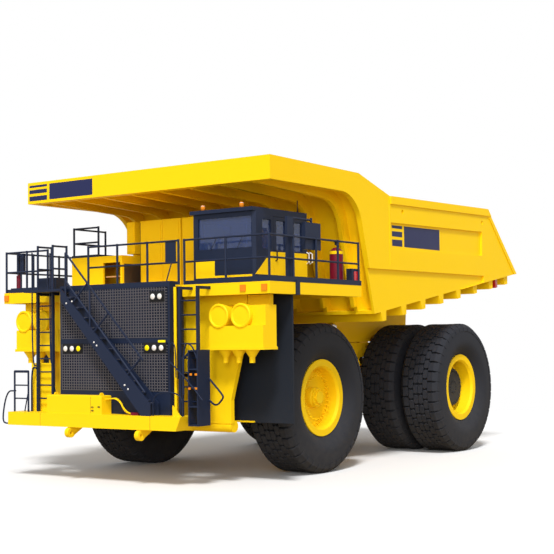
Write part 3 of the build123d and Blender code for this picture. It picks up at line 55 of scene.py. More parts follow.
print("solids:", len(nodes))


def span(node):
    """Lowest and highest corner of a solid, as arrays."""
    low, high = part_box(node)
    return np.array(low, float), np.array(high, float)


tyre_back, tyre_front = (corner[0] for corner in span("rear_tyres_left"))
rear_axle = (tyre_back + tyre_front) / 2
print("rear axle at x =", round(rear_axle, 3))


def station(*forward):
    """X of places given by how far they lie forward of the rear axle: a number, or an array of several."""
    places = rear_axle + np.array(forward)
    return places if len(forward) > 1 else places[0]


# %% [markdown]
# ## Paint that is not one flat colour
# Real paint has slow changes of tone, a skin like the peel of an orange, and dust that settles low down.
# A texture image could hold that, but a small node group makes it from noise at true scale, so one group
# serves every paint on the truck, each with its own colour, dust and bump.


# %% Node helpers
def link_nodes(tree, made, links):
    """Join outputs to inputs, each link as (from node, its socket, to node, its socket)."""
    for source, output, target, socket in links:
        tree.links.new(made[source].outputs[output], made[target].inputs[socket])


def add_nodes(tree, kinds):
    """Add nodes to a tree: {name: (type, {property: value}, {input: value})}."""
    made = {}
    for name, (kind, settings, inputs) in kinds.items():
        node = tree.nodes.new(kind)
        for key, value in settings.items():
            setattr(node, key, value)
        for key, value in inputs.items():
            node.inputs[key].default_value = value
        made[name] = node
    return made


def math_node(operation, inputs=(), clamp=False):
    """Entry for add_nodes: one sum on numbers, held between 0 and 1 where clamp says so."""
    return "ShaderNodeMath", {"operation": operation, "use_clamp": clamp}, dict(inputs)


def new_group(name, inputs, outputs):
    """Empty node group with named sockets; inputs hold (name, type, first value)."""
    group = bpy.data.node_groups.new(name, "ShaderNodeTree")
    for label, kind, value in inputs:
        socket = group.interface.new_socket(label, in_out="INPUT", socket_type=f"NodeSocket{kind}")
        socket.default_value = value
    for label, kind in outputs:
        group.interface.new_socket(label, in_out="OUTPUT", socket_type=f"NodeSocket{kind}")
    return group


# %% Group: coat of paint with dust
def paint_coat_group():
    """Colour = paint varied by slow noise, then mixed towards dust by how low and blotchy the place is."""
    group = new_group(
        "paint_coat",
        [
            ("Paint", "Color", (0.8, 0.8, 0.8, 1)),
            ("Dust", "Color", (0.42, 0.36, 0.28, 1)),
            ("Dust Amount", "Float", 0.1),
            ("Dust Height", "Float", 2.0),
            ("Tone", "Float", 0.06),
            ("Roughness", "Float", 0.35),
        ],
        [("Color", "Color"), ("Roughness", "Float"), ("Height", "Float")],
    )
    made = add_nodes(
        group,
        {
            "in": ("NodeGroupInput", {}, {}),
            "out": ("NodeGroupOutput", {}, {}),
            "place": ("ShaderNodeTexCoord", {}, {}),
            "slow": ("ShaderNodeTexNoise", {}, {"Scale": 0.9, "Detail": 4.0, "Roughness": 0.6}),
            "blotch": ("ShaderNodeTexNoise", {}, {"Scale": 6.0, "Detail": 8.0, "Roughness": 0.7}),
            "peel": ("ShaderNodeTexNoise", {}, {"Scale": 45.0, "Detail": 2.0}),
            "axes": ("ShaderNodeSeparateXYZ", {}, {}),
            "centre": math_node("SUBTRACT", {1: 0.5}),
            "swing": math_node("MULTIPLY"),
            "bright": math_node("ADD", {1: 1.0}),
            "toned": ("ShaderNodeVectorMath", {"operation": "SCALE"}, {}),
            "low": math_node("DIVIDE"),
            "fall": math_node("SUBTRACT", {0: 1.0}, clamp=True),
            "patch": (
                "ShaderNodeMapRange",
                {},
                {"From Min": 0.35, "From Max": 0.75, "To Min": 0.15, "To Max": 1.0},
            ),
            "spread": math_node("MULTIPLY"),
            "amount": math_node("MULTIPLY", clamp=True),
            "mix": ("ShaderNodeMix", {"data_type": "RGBA"}, {}),
            "dull": math_node("MULTIPLY", {1: 0.5}),
            "vary": math_node("MULTIPLY_ADD", {1: 0.12}),
            "rough": math_node("ADD", clamp=True),
        },
    )
    links = [("place", "Object", target, 0) for target in ("slow", "blotch", "peel", "axes")]
    links += (
        ("slow", "Fac", "centre", 0),
        ("centre", 0, "swing", 0),
        ("in", "Tone", "swing", 1),
        ("swing", 0, "bright", 0),
        ("in", "Paint", "toned", 0),
        ("bright", 0, "toned", "Scale"),
        ("axes", "Z", "low", 0),
        ("in", "Dust Height", "low", 1),
        ("low", 0, "fall", 1),
        ("blotch", "Fac", "patch", 0),
        ("patch", 0, "spread", 0),
        ("fall", 0, "spread", 1),
        ("spread", 0, "amount", 0),
        ("in", "Dust Amount", "amount", 1),
        ("amount", 0, "mix", 0),
        ("toned", 0, "mix", 6),
        ("in", "Dust", "mix", 7),
        ("amount", 0, "dull", 0),
        ("blotch", "Fac", "vary", 0),
        ("in", "Roughness", "vary", 2),
        ("vary", 0, "rough", 0),
        ("dull", 0, "rough", 1),
        ("mix", 2, "out", "Color"),
        ("rough", 0, "out", "Roughness"),
        ("peel", "Fac", "out", "Height"),
    )
    link_nodes(group, made, links)
    return group


paint_coat = paint_coat_group()


# %% Materials from the coat
def coated(name, colour, roughness, dust=0.0, tone=0.06, bump=0.003, metallic=0.0, coat=0.0, gloss=0.2):
    """Material whose colour, roughness and bump come from the paint coat group."""
    material = bpy.data.materials.new(name)
    material.use_nodes = True
    tree = material.node_tree
    shader = tree.nodes["Principled BSDF"]
    group = tree.nodes.new("ShaderNodeGroup")
    group.node_tree = paint_coat
    group.inputs["Paint"].default_value = (*colour, 1)
    group.inputs["Dust Amount"].default_value = dust
    group.inputs["Tone"].default_value = tone
    group.inputs["Roughness"].default_value = roughness
    relief = tree.nodes.new("ShaderNodeBump")
    relief.inputs["Distance"].default_value = bump
    relief.inputs["Strength"].default_value = 0.25
    tree.links.new(group.outputs["Color"], shader.inputs["Base Color"])
    tree.links.new(group.outputs["Roughness"], shader.inputs["Roughness"])
    tree.links.new(group.outputs["Height"], relief.inputs["Height"])
    tree.links.new(relief.outputs["Normal"], shader.inputs["Normal"])
    shader.inputs["Metallic"].default_value = metallic
    shader.inputs["Coat Weight"].default_value = coat
    shader.inputs["Specular IOR Level"].default_value = gloss
    return material


def tinted_glass(name, colour, transmission):
    """Window glass: part of the light goes through it, part shows its tint."""
    material = bpy.data.materials.new(name)
    material.use_nodes = True
    shader = material.node_tree.nodes["Principled BSDF"]
    shader.inputs["Base Color"].default_value = (*colour, 1)
    shader.inputs["Roughness"].default_value = 0.03
    shader.inputs["IOR"].default_value = 1.45
    shader.inputs["Transmission Weight"].default_value = transmission
    return material


# Each paint: colour, roughness and what differs from a plain coat.
paints = {
    "yellow_paint": ((0.92, 0.605, 0.005), 0.42, {"tone": 0.05, "gloss": 0.1, "dust": 0.04}),
    "navy_paint": ((0.009, 0.016, 0.041), 0.45, {"dust": 0.02}),
    "dark_steel": ((0.03, 0.03, 0.032), 0.6, {"dust": 0.04}),
    "red_paint": ((0.15, 0.004, 0.02), 0.35, {}),
    "chrome": ((0.62, 0.63, 0.65), 0.12, {"metallic": 1.0, "dust": 0.04}),
    "tyre": ((0.019, 0.021, 0.028), 0.7, {"dust": 0.06}),
    "rubber": ((0.010, 0.014, 0.023), 0.6, {"dust": 0.04}),
    "lamp_lens": ((0.74, 0.72, 0.71), 0.12, {"coat": 0.6}),
    "red_lens": ((0.5, 0.01, 0.01), 0.12, {"coat": 0.6}),
    "trim": ((0.012, 0.012, 0.014), 0.6, {}),
    "seat_cloth": ((0.12, 0.125, 0.14), 0.9, {"bump": 0.006}),
    "amber_lens": ((0.72, 0.225, 0.008), 0.5, {}),
    "yellow_lens": ((0.9, 0.74, 0.0), 0.2, {}),
    "decal_navy": ((0.014, 0.019, 0.078), 0.35, {}),
    "white_paint": ((0.78, 0.79, 0.8), 0.35, {}),
    "mirror_glass": ((0.78, 0.8, 0.82), 0.03, {"metallic": 1.0}),
    "wire": ((0.115, 0.11, 0.125), 0.6, {}),
    "tan_shelf": ((0.62, 0.36, 0.16), 0.7, {}),
    # Painted shade: a dark brown for the plates in the gaps beside the cabinets, where only shade lies.
    "painted_shade_brown": ((0.055, 0.037, 0.026), 0.8, {}),
}
finishes = {name: coated(name, colour, rough, **rest) for name, (colour, rough, rest) in paints.items()}
finishes["glass"] = tinted_glass("glass", (0.12, 0.19, 0.46), 0.8)
for part in frame["record"]["subparts"]:
    mesh = nodes[part["node"]].data
    mesh.materials.clear()
    mesh.materials.append(finishes[part["material_slot"]])
print("finishes:", len(finishes))

# %% [markdown]
# ## Shapes worked out as arrays
# Each added piece is a run of rings of points: a circle carried along a path, a profile turned about an
# axis, or the outline of a plate at its two faces. One function winds faces round such rings, so every
# shape below only has to say where its points are.


# %% Rings to meshes
def wound(rings):
    """Closed solids from rings[solid, ring, point, xyz]: quads between neighbour rings, a cap at each end."""
    count, length, loop = rings.shape[:3]
    index = np.arange(count * length * loop).reshape(count, length, loop)
    low, high = index[:, :-1], index[:, 1:]
    quads = np.stack([low, np.roll(low, -1, 2), np.roll(high, -1, 2), high], -1).reshape(-1, 4)
    caps = np.concatenate([index[:, 0, ::-1], index[:, -1]])
    return rings.reshape(-1, 3), quads.tolist() + caps.tolist()


def joined(*shapes):
    """Several shapes as one: points one after the other, faces renumbered by the points before them."""
    starts = np.cumsum([0] + [len(points) for points, _ in shapes[:-1]])
    points = np.concatenate([points for points, _ in shapes])
    faces = [[start + corner for corner in face] for (_, some), start in zip(shapes, starts) for face in some]
    return points, faces


# %% Boxes and plates
def boxes(lows, highs):
    """Boxes: two square rings each, at the low and the high end of Z."""
    lows, highs = np.atleast_2d(lows).astype(float), np.atleast_2d(highs).astype(float)
    bits = np.array([[(0, 0, k), (1, 0, k), (1, 1, k), (0, 1, k)] for k in (0, 1)], float)
    return wound(lows[:, None, None] + bits * (highs - lows)[:, None, None])


def slab(x, y, z):
    """One box from its low and high place along X, Y and Z."""
    return boxes(*np.transpose((x, y, z)))


def prism(outline, y0, y1):
    """Plate across the truck: a left-turning outline of (x, z), x to the right, carried from y0 to y1."""
    x, z = np.asarray(outline, float).T
    rings = [np.stack([x, np.full_like(x, y), z], -1)[::-1] for y in (y0, y1)]
    return wound(np.stack(rings)[None])


# %% Profiles turned about an axis and circles carried along a path
def spokes(axis, steps):
    """Unit vectors round an axis that lies along X, Y or Z: cos x one side + sin x the other."""
    axis = np.asarray(axis, float)
    side = np.roll(axis, 1)
    angle = np.linspace(0, 2 * np.pi, steps, endpoint=False)[:, None]
    return np.cos(angle) * side + np.sin(angle) * np.cross(axis, side)


def turned(profile, centres, axis, steps=24):
    """Profile of (along, radius) turned about an axis: each centre + along x axis + radius x spokes."""
    along, radius = np.asarray(profile, float).T[:, :, None, None]
    ring = along * np.asarray(axis, float) + radius * spokes(axis, steps)
    return wound(np.atleast_2d(centres).astype(float)[:, None, None] + ring[None])


off_path = (0.48, 0.6, 0.64)


def carried(path, radius, steps=10):
    """Tube: a circle square to the path at each point, its first side square to a direction no path takes."""
    path = np.asarray(path, float)
    run = np.gradient(path, axis=0)
    run /= np.linalg.norm(run, axis=1, keepdims=True)
    side = np.cross(run, off_path)
    side /= np.linalg.norm(side, axis=1, keepdims=True)
    angle = np.linspace(0, 2 * np.pi, steps, endpoint=False)[None, :, None]
    circle = np.cos(angle) * side[:, None] + np.sin(angle) * np.cross(run, side)[:, None]
    return wound((path[:, None] + radius * circle)[None])


def eased(path, rounds=3):
    """Path with its corners cut: each round puts two points on every stretch, a quarter in from its ends."""
    path = np.asarray(path, float)
    for _ in range(rounds):
        start, end = path[:-1], path[1:]
        pairs = np.stack([0.75 * start + 0.25 * end, 0.25 * start + 0.75 * end], 1).reshape(-1, 3)
        path = np.concatenate([path[:1], pairs, path[-1:]])
    return path


# %% Shapes to objects
def add_object(name, data):
    """New object at the origin, in the scene."""
    made = bpy.data.objects.new(name, data)
    bpy.context.scene.collection.objects.link(made)
    return made


def add_piece(name, shape, finish, body="chassis", smooth=0):
    """New piece that rides on a body; its first faces, as many as smooth says, shade smoothly."""
    points, faces = shape
    mesh = bpy.data.meshes.new(name)
    mesh.from_pydata(points.tolist(), [], faces)
    mesh.materials.append(finishes[finish])
    mesh.polygons.foreach_set("use_smooth", np.arange(len(faces)) < smooth)
    piece = add_object(name, mesh)
    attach(piece, body)
    print("piece:", name, len(faces), "faces on", body)
    return piece


# %% [markdown]
# ## Tyres with real tread
# The solids carry plain tyres with flat facets. A real one has a smooth side wall, deep blocks over each
# shoulder and six-sided blocks in staggered rows between them. Sculpting would give uneven blocks, so the
# carcass is a profile turned about the axle, and the blocks are rows of rings set out by angle.

# %% Tyre sizes from the frame
front_low, front_high = span("front_tyre_left")
tyre_half_width = (front_high[1] - front_low[1]) / 2
tread_radius = (front_high[2] - front_low[2]) / 2
rim_low, rim_high = span("front_rim_left")
flange_radius = (rim_high[2] - rim_low[2]) / 2
flange_half_width = (rim_high[1] - rim_low[1]) / 2
flange_thickness = 0.04
bore_radius = 0.73
bead_gap, wall_fullness, crown_rise = 0.006, 0.8, 0.008
tread_depth = 0.085
belly_radius = 0.72 * tread_radius
shoulder_radius = 0.945 * tread_radius
shoulder_half_width = 0.92 * tyre_half_width
tread_half_width = 0.78 * tyre_half_width
lug_foot_radius = 0.88 * tread_radius
lug_root = 0.02
lug_rounding = 0.016
lug_count = 40
lug_pitch = 2 * np.pi / lug_count
round_steps = 160
print(f"tyre: {2 * tread_radius:.2f} m high, {2 * tyre_half_width:.2f} m wide, {lug_count} blocks in a row")


# %% Carcass and tread blocks
def tyre_profile():
    """(across, radius) down one side wall and up the other: across rises as a quarter sine to the belly,
    then falls by the square of the height above it to the shoulder, and the crown is a shallow arch."""
    bead = flange_half_width - flange_thickness
    rise = np.linspace(0, 1, 9)
    lower = bead + (tyre_half_width - bead) * np.sin(rise * np.pi / 2) ** wall_fullness
    lower_radius = flange_radius + bead_gap + (belly_radius - flange_radius) * rise
    climb = np.linspace(0, 1, 8)[1:]
    upper = tyre_half_width - (tyre_half_width - shoulder_half_width) * climb**2
    upper_radius = belly_radius + (shoulder_radius - belly_radius) * climb
    base = tread_radius - tread_depth
    wall = np.stack(
        [
            np.concatenate([[bead], lower, upper, [tread_half_width, tread_half_width / 2]]),
            np.concatenate([[bore_radius], lower_radius, upper_radius, [base, base + crown_rise]]),
        ],
        -1,
    )
    return np.concatenate([wall * (-1, 1), wall[::-1]])


def carcass(centre):
    """The closed profile turned about the axle: rings of the profile, joined round and back to the first."""
    profile = tyre_profile()
    across, radius = profile.T[:, :, None, None]
    points = np.asarray(centre) + across * np.array((0.0, 1.0, 0.0)) + radius * spokes((0, 1, 0), round_steps)
    index = np.arange(len(profile) * round_steps).reshape(len(profile), round_steps)
    after = np.roll(index, -1, 0)
    faces = np.stack([index, np.roll(index, -1, 1), np.roll(after, -1, 1), after], -1)
    return points.reshape(-1, 3), faces.reshape(-1, 4).tolist()


def round_tyre(centre, angle, across, radius):
    """Points of a tyre: centre + (radius x cos of the angle, place across, radius x sin of the angle)."""
    x = centre[0] + radius * np.cos(angle)
    z = centre[2] + radius * np.sin(angle)
    return np.stack(np.broadcast_arrays(x, centre[1] + across, z), -1)


def shoulder_lugs(centre, side):
    """Blocks over one shoulder: a six-point section swept through four angles, its outer points lower at
    the ends."""
    section = np.array(
        [
            (0.50, tread_radius - tread_depth - lug_root),
            (0.51, tread_radius),
            (0.76, tread_radius),
            (0.945, shoulder_radius - 0.005),
            (0.985, lug_foot_radius),
            (0.86, lug_foot_radius),
        ]
    )
    across = section[:, 0] * tyre_half_width * side
    radius = section[:, 1]
    turn = lug_pitch * np.array((-0.43, -0.40, 0.40, 0.43))[None, :, None]
    start = lug_pitch * (np.arange(lug_count) + (0.25 if side > 0 else 0.75))[:, None, None]
    lower = lug_rounding * np.array((1, 0, 0, 1))[None, :, None] * np.array((0, 1, 1, 1, 0.3, 0))
    rings = round_tyre(centre, start + turn, across, radius - lower)
    return wound(rings if side > 0 else rings[:, :, ::-1])


def middle_lugs(centre, side):
    """Six-sided blocks in two staggered rows beside the middle groove, swept from base to a smaller top."""
    rows = np.array(((0.015, 0.235), (0.255, 0.485))) * tyre_half_width
    across = rows[:, :1] + (rows[:, 1:] - rows[:, :1]) * np.array((0.0, 0.5, 1.0, 1.0, 0.5, 0.0))
    width = np.array((-0.36, -0.46, -0.36, 0.36, 0.46, 0.36)) * lug_pitch
    shrink = np.array((1.0, 1.0, 0.9))[:, None]
    radius = tread_radius - np.array((tread_depth + lug_root, 0.014, 0.004))[:, None]
    middle = across.mean(1, keepdims=True)
    spread = middle[:, None, None] + (across - middle)[:, None, None] * shrink
    start = (np.arange(lug_count) + 0.5 * np.arange(2)[:, None]) * lug_pitch
    rings = round_tyre(centre, start[:, :, None, None] + width * shrink, side * spread, radius)
    rings = rings.reshape(-1, *rings.shape[2:])
    return wound(rings if side > 0 else rings[:, :, ::-1])


def treaded(*centres):
    """Carcasses first, since they shade smoothly, then every row of blocks."""
    lugs = (shoulder_lugs, middle_lugs)
    rows = [row(centre, side) for centre in centres for side in (1, -1) for row in lugs]
    return joined(*[carcass(centre) for centre in centres], *rows)


# %% Fit the tyres to the wheels
smooth_faces = len(tyre_profile()) * round_steps
for side in ("left", "right"):
    low, high = span(f"front_tyre_{side}")
    tyre = add_piece(
        f"treaded_tyre_front_{side}",
        treaded((low + high) / 2),
        "tyre",
        f"wheel_front_{side}",
        smooth=smooth_faces,
    )
    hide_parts(f"front_tyre_{side}")
    low, high = span(f"rear_tyres_{side}")
    middle = (low + high) / 2
    step = np.array((0, (high[1] - low[1]) / 2 - tyre_half_width, 0))
    twins = add_piece(
        f"treaded_tyres_rear_{side}",
        treaded(middle - step, middle + step),
        "tyre",
        f"wheel_rear_{side}",
        smooth=2 * smooth_faces,
    )
    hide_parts(f"rear_tyres_{side}")

# %% [markdown]
# ## Wheel nuts and motor covers
# A wheel this size is held by a ring of nuts at the foot of the rim, with more on the hub's face. They are
# six-sided rods in a circle, so one profile is turned in six steps at every place. Deep in each rear wheel a
# dark cover closes the motor; its stepped profile is turned about the axle in the same way.


# %% Nuts on the four wheels
def rim_middle(place, side, sign):
    """Middle of a rim's outer face."""
    low, high = span(f"{place}_rim_{side}")
    middle = (low + high) / 2
    middle[1] = high[1] if sign > 0 else low[1]
    return middle


def ring_places(centre, y, radius, count):
    """Places round a wheel's axle at one distance from it: centre + radius x (cos, sin)."""
    angle = np.linspace(0, 2 * np.pi, count, endpoint=False)
    x, z = centre[0] + radius * np.cos(angle), centre[2] + radius * np.sin(angle)
    return np.stack([x, np.full(count, y), z], -1)


# Each row of nuts: depth behind the rim's face, distance from the axle, count, radius of a nut.
nut_rows = {
    "front": ((0.31, 0.625, 40, 0.02), (0.163, 0.50, 30, 0.014), (0.118, 0.18, 12, 0.012)),
    "rear": ((0.43, 0.57, 40, 0.024), (0.246, 0.42, 24, 0.014), (0.246, 0.16, 12, 0.012)),
}
nut_finish = {"front": "yellow_paint", "rear": "dark_steel"}
nut_root, nut_height, nut_crown, crown_share = 0.01, 0.035, 0.008, 0.7
hands = (("left", 1), ("right", -1))
for side, sign in hands:
    for place, rows in nut_rows.items():
        middle = rim_middle(place, side, sign)
        nuts = [
            turned(
                ((-nut_root, nut), (nut_height, nut), (nut_height + nut_crown, crown_share * nut)),
                ring_places(middle, middle[1] - sign * depth, radius, count),
                (0, sign, 0),
                steps=6,
            )
            for depth, radius, count, nut in rows
        ]
        add_piece(f"wheel_nuts_{place}_{side}", joined(*nuts), nut_finish[place], f"wheel_{place}_{side}")

# %% Dark covers deep in the rear wheels
cover_foot, cover_shoulder, cover_face = 0.424, 0.25, 0.239
flange_edge, drum_edge, face_edge = 0.63, 0.497, 0.47
cover_profile = (
    (-0.45, flange_edge),
    (-cover_foot, flange_edge),
    (-cover_foot, drum_edge),
    (-cover_shoulder, drum_edge),
    (-cover_face, face_edge),
    (-cover_face, 0.01),
)
for side, sign in hands:
    cover = turned(cover_profile, rim_middle("rear", side, sign), (0, sign, 0), steps=64)
    add_piece(f"motor_cover_{side}", cover, "dark_steel", f"wheel_rear_{side}")

# %% [markdown]
# ## Grille mesh
# The real grille is closed by a mesh of pale wires over its bars, in two panels with a cross bar between
# them. A picture of a mesh would vanish up close, so the wires are thin boxes: one array holds the places
# along a panel's edge, and every wire of that panel takes the same ends. A dark sheet behind them keeps
# daylight out of the gaps, and a small yellow plate sits on the cross bar.

# %% Wires over the grille
grille_face = span("grille")[1][0]
mesh_front = grille_face - 0.004
mesh_half_width = 1.555
mesh_panels = ((2.0, 3.02), (3.14, 4.21))
wire_thickness = 0.016
wire_spacing = (0.074, 0.060)


def mesh_wires(low, high):
    """Wires both ways over a panel from (y, z) to (y, z)."""
    places = [np.arange(low[k], high[k] - wire_thickness, wire_spacing[k]) for k in (0, 1)]
    back = mesh_front - wire_thickness / 2
    upright_lows = np.stack(np.broadcast_arrays(back, places[0], low[1]), -1)
    level_lows = np.stack(np.broadcast_arrays(back, low[0], places[1]), -1)
    return joined(
        boxes(upright_lows, upright_lows + (wire_thickness / 2, wire_thickness, high[1] - low[1])),
        boxes(level_lows, level_lows + (wire_thickness / 2, high[0] - low[0], wire_thickness)),
    )


meshes = [mesh_wires((-mesh_half_width, low), (mesh_half_width, high)) for low, high in mesh_panels]
add_piece("grille_wires", joined(*meshes), "wire")

# %% Sheet behind the wires and small plate on the cross bar
sheet_back, sheet_thickness = mesh_front - 0.12, 0.01
backing = slab(
    (sheet_back, sheet_back + sheet_thickness),
    (-mesh_half_width, mesh_half_width),
    (mesh_panels[0][0], mesh_panels[1][1]),
)
add_piece("grille_backing", backing, "rubber")
small_plate = slab((grille_face - 0.006, grille_face + 0.004), (1.30, 1.50), (3.035, 3.085))
add_piece("grille_plate", small_plate, "yellow_lens")

# %% [markdown]
# ## Lamps
# Each lamp on the grille is a lens that bulges from a dark ring on a dark plate; the inner lamp of the lower
# row on each side is yellow. The markers on the deck beam and the beacons on the cab roof are amber. Lenses
# and domes are quarter circles turned about an axis, which gives a true bulge with few points.

# %% Lenses, rings and plates on the grille
lamp_radius = 0.07
lamp_face = grille_face + 0.024
lower_row, upper_row = 2.922, 4.010
clear_lamps = [(1.208, lower_row), (1.407, lower_row), (1.180, upper_row), (1.373, upper_row)]
yellow_lamps = [(1.009, lower_row)]
lens_bulge, lens_radius = 0.03, 0.92 * lamp_radius
bulge = np.linspace(0, 0.46 * np.pi, 6)
lens_profile = np.stack([lens_bulge * np.sin(bulge), lens_radius * np.cos(bulge)], -1)


def lamp_places(spots):
    """The same lamps on both sides of the truck."""
    return [(lamp_face, side * y, z) for y, z in spots for side in (1, -1)]


for name, spots, finish in (("clear", clear_lamps, "lamp_lens"), ("yellow", yellow_lamps, "yellow_lens")):
    lenses = turned(lens_profile, lamp_places(spots), (1, 0, 0))
    add_piece(f"{name}_lenses", lenses, finish, smooth=len(lenses[1]))

collar_outer, collar_inner = 1.16 * lamp_radius, 0.93 * lamp_radius
collar_profile = ((-0.024, collar_outer), (0.006, collar_outer), (0.006, collar_inner))
collars = turned(collar_profile, lamp_places(clear_lamps + yellow_lamps), (1, 0, 0))
add_piece("lamp_collars", collars, "trim")

plate_edge = 0.115
plate_rows = (((1.009, 1.407), lower_row), ((1.180, 1.373), upper_row))
plates = [
    slab(
        (grille_face - 0.004, grille_face + 0.003),
        sorted((side * (inner - plate_edge), side * (outer + plate_edge))),
        (z - plate_edge, z + plate_edge),
    )
    for (inner, outer), z in plate_rows
    for side in (1, -1)
]
add_piece("lamp_plates", joined(*plates), "trim")

# %% Amber markers on the deck beam
deck_low, deck_high = span("deck")
deck_left, deck_top = deck_high[1], 4.258
deck_face = station(9.82)
marker_half, marker_height = 0.069, 4.131
marker_sides = (deck_left - 0.135, deck_left - 0.679, 0.095 - deck_left)
markers = [
    slab(
        (deck_face - 0.002, deck_face + 0.03),
        (y - marker_half, y + marker_half),
        (marker_height - marker_half, marker_height + marker_half),
    )
    for y in marker_sides
]
add_piece("marker_lenses", joined(*markers), "amber_lens")

# %% Beacons on the cab roof
roof_low, roof_high = span("cab_roof")
beacon_front = span("cab_front")[1][0] - 0.18
beacon_radius, beacon_foot, beacon_neck, beacon_rise = 0.052, 0.02, 0.09, 0.06
dome = np.linspace(0, 0.47 * np.pi, 7)
dome_profile = np.stack([beacon_neck + beacon_rise * np.sin(dome), beacon_radius * np.cos(dome)], -1)
beacon_profile = [(beacon_foot, beacon_radius), *dome_profile]
beacon_places = [(beacon_front, y, roof_high[2]) for y in (roof_low[1] + 0.18, roof_high[1] - 0.46)]
beacons = turned(beacon_profile, beacon_places, (0, 0, 1))
add_piece("beacon_domes", beacons, "amber_lens", smooth=len(beacons[1]))

# %% [markdown]
# ## Stripes on the body
# Navy film lies on the body's left side and on the right end of the canopy's lip: three stripes, then a
# long panel. Paint would do it in a texture; thin plates keep the edges sharp at any distance. A narrow
# raised seam, where the canopy's side plate meets the body, is made in the same way.

# %% Stripes and panels
film = 0.003
lip_face = span("bed_canopy")[1][0]
lip_film = (lip_face - film, lip_face + film)
lip_heights = ((6.811, 6.864), (6.662, 6.755), (6.487, 6.599))
lip_stripes = [slab(lip_film, (-3.551, -2.956), heights) for heights in lip_heights]
lip_panel = slab(lip_film, (-2.873, -1.468), (6.487, 6.866))
add_piece("canopy_stripes", joined(*lip_stripes, lip_panel), "decal_navy", "bed")

top_rail_out = 0.04
side_recess = 0.06
side_face = span("bed_sides")[1][1] - top_rail_out
recess_face = side_face - side_recess
side_slope = -0.017
side_heights = ((5.735, 5.803), (5.533, 5.659), (5.300, 5.456))


def side_film(start, end, low, high):
    """Film on the body's left side: its upper edge rises by slope x length, its lower edge by a third."""
    rise = side_slope * (start - end)
    outline = [(start, low + rise / 3), (end, low), (end, high), (start, high + rise)]
    return prism(np.array(outline) + (rear_axle, 0), recess_face - film, recess_face + film)


side_stripes = [side_film(3.665, 4.165, *heights) for heights in side_heights]
side_panel = side_film(1.695, 3.564, 5.302, 5.815)
add_piece("body_stripes", joined(*side_stripes, side_panel), "decal_navy", "bed")

# %% Seam of the canopy's side plate
seam_out = 0.008
seams = [
    slab(station(4.36, 4.39), (side * side_face - seam_out, side * side_face + seam_out), (4.80, 6.46))
    for side in (1, -1)
]
add_piece("canopy_seams", joined(*seams), "yellow_paint", "bed")

# %% [markdown]
# ## Edge bars of the ribs
# The ribs under the canopy run up the front wall, round a bend and out to the lip, and each carries a bar
# along its edge that catches the light. A sweep along a curve would need many objects, so one array holds
# the line that every rib follows, and a four-cornered section is carried along it at each rib's place.

# %% Bars along the ribs
rib_count = 8
bar_half_width, bar_depth, bar_root = 0.05, 0.12, 0.005
lip_share = 0.1
bend_radius = 0.9
ceiling = 6.42
wall_start, foot_gap = np.array((5.05, 3.64)), 0.2
wall_slant = np.arctan2(1061, 306)
lip_back = lip_face - 0.25
wall_inner = 3.606 - 0.13


def rib_line():
    """(x, z) along a rib's edge and its direction there: straight wall, round bend, level canopy."""
    turn = np.linspace(wall_slant, 0, 17)
    lean = np.cos(wall_slant) / np.sin(wall_slant)
    centre_x = wall_start[0] + (ceiling - wall_start[1]) * lean + bend_radius * np.tan(wall_slant / 2)
    bend = np.stack([centre_x - bend_radius * np.sin(turn), ceiling - bend_radius * (1 - np.cos(turn))], -1)
    foot = wall_start + foot_gap * np.array((np.cos(wall_slant), np.sin(wall_slant)))
    lip = (lip_back - rear_axle, ceiling)
    angle = np.concatenate([[wall_slant], turn, [0]])
    return np.concatenate([[foot], bend, [lip]]) + (rear_axle, 0), angle


def rib_bars():
    """Section corners at (y, depth) on every point of the line, thin at the lip, repeated at each rib."""
    line, angle = rib_line()
    outward = np.stack([np.sin(angle), -np.cos(angle)], -1)
    y = np.array((-1, 1, 1, -1)) * bar_half_width
    depth = np.array((bar_depth, bar_depth, -bar_root, -bar_root))
    places = wall_inner * ((2 * np.arange(rib_count) + 1) / rib_count - 1)
    share = np.append(np.ones(len(line) - 1), lip_share)[:, None, None]
    edge = line[:, None] + outward[:, None] * depth[:, None] * share
    x, z = edge[None, ..., 0], edge[None, ..., 1]
    return wound(np.stack(np.broadcast_arrays(x, places[:, None, None] + y, z), -1))


add_piece("rib_bars", rib_bars(), "yellow_paint", "bed")

# %% [markdown]
# ## Cab
# The cab is navy, with a yellow band along the lower left side that runs over the door, small yellow
# panels under the screen and a yellow line along its foot. The band is cut at the door's edges, so that
# the door takes its own length of it along when it swings. Wipers, rails and antenna are bent rods, so a
# circle is carried along a line of a few points for each.

# %% Yellow band, panels and foot line
floor_low, floor_high = span("cab_floor")
door_low, door_high = span("cab_door")
cab_face, screen_face = floor_high[1], floor_high[0]
band_low, band_high = 4.45, 4.97
front_top, door_top = band_high - 0.02, band_high - 0.008
band_nose, band_shoulder, band_tail = screen_face - 0.02, station(8.65), floor_low[0] + 0.01
split = 0.008
front_start, rear_end = door_high[0] + split, door_low[0] - split
band_film = (cab_face - film, cab_face + film)
front_band = (
    (front_start, band_low),
    (band_nose, band_low),
    (band_shoulder, front_top),
    (front_start, front_top),
)
door_band = (
    (door_low[0], band_low),
    (door_high[0], band_low),
    (door_high[0], front_top),
    (door_low[0], door_top),
)
rear_band = ((band_tail, band_low), (rear_end, band_low), (rear_end, door_top), (band_tail, band_high))
cab_bands = [prism(outline, *band_film) for outline in (front_band, rear_band)]
add_piece("cab_band", joined(*cab_bands), "yellow_paint")
add_piece("door_band", prism(door_band, *band_film), "yellow_paint", "cab_door")

screen_film = (screen_face - film, screen_face + film)
front_panel = slab(screen_film, (1.53, 2.05), (4.41, 4.79))
foot_line = slab(screen_film, (2.05, cab_face - 0.07), (band_low - 0.05, band_low))
add_piece("cab_panels", joined(front_panel, foot_line), "yellow_paint")

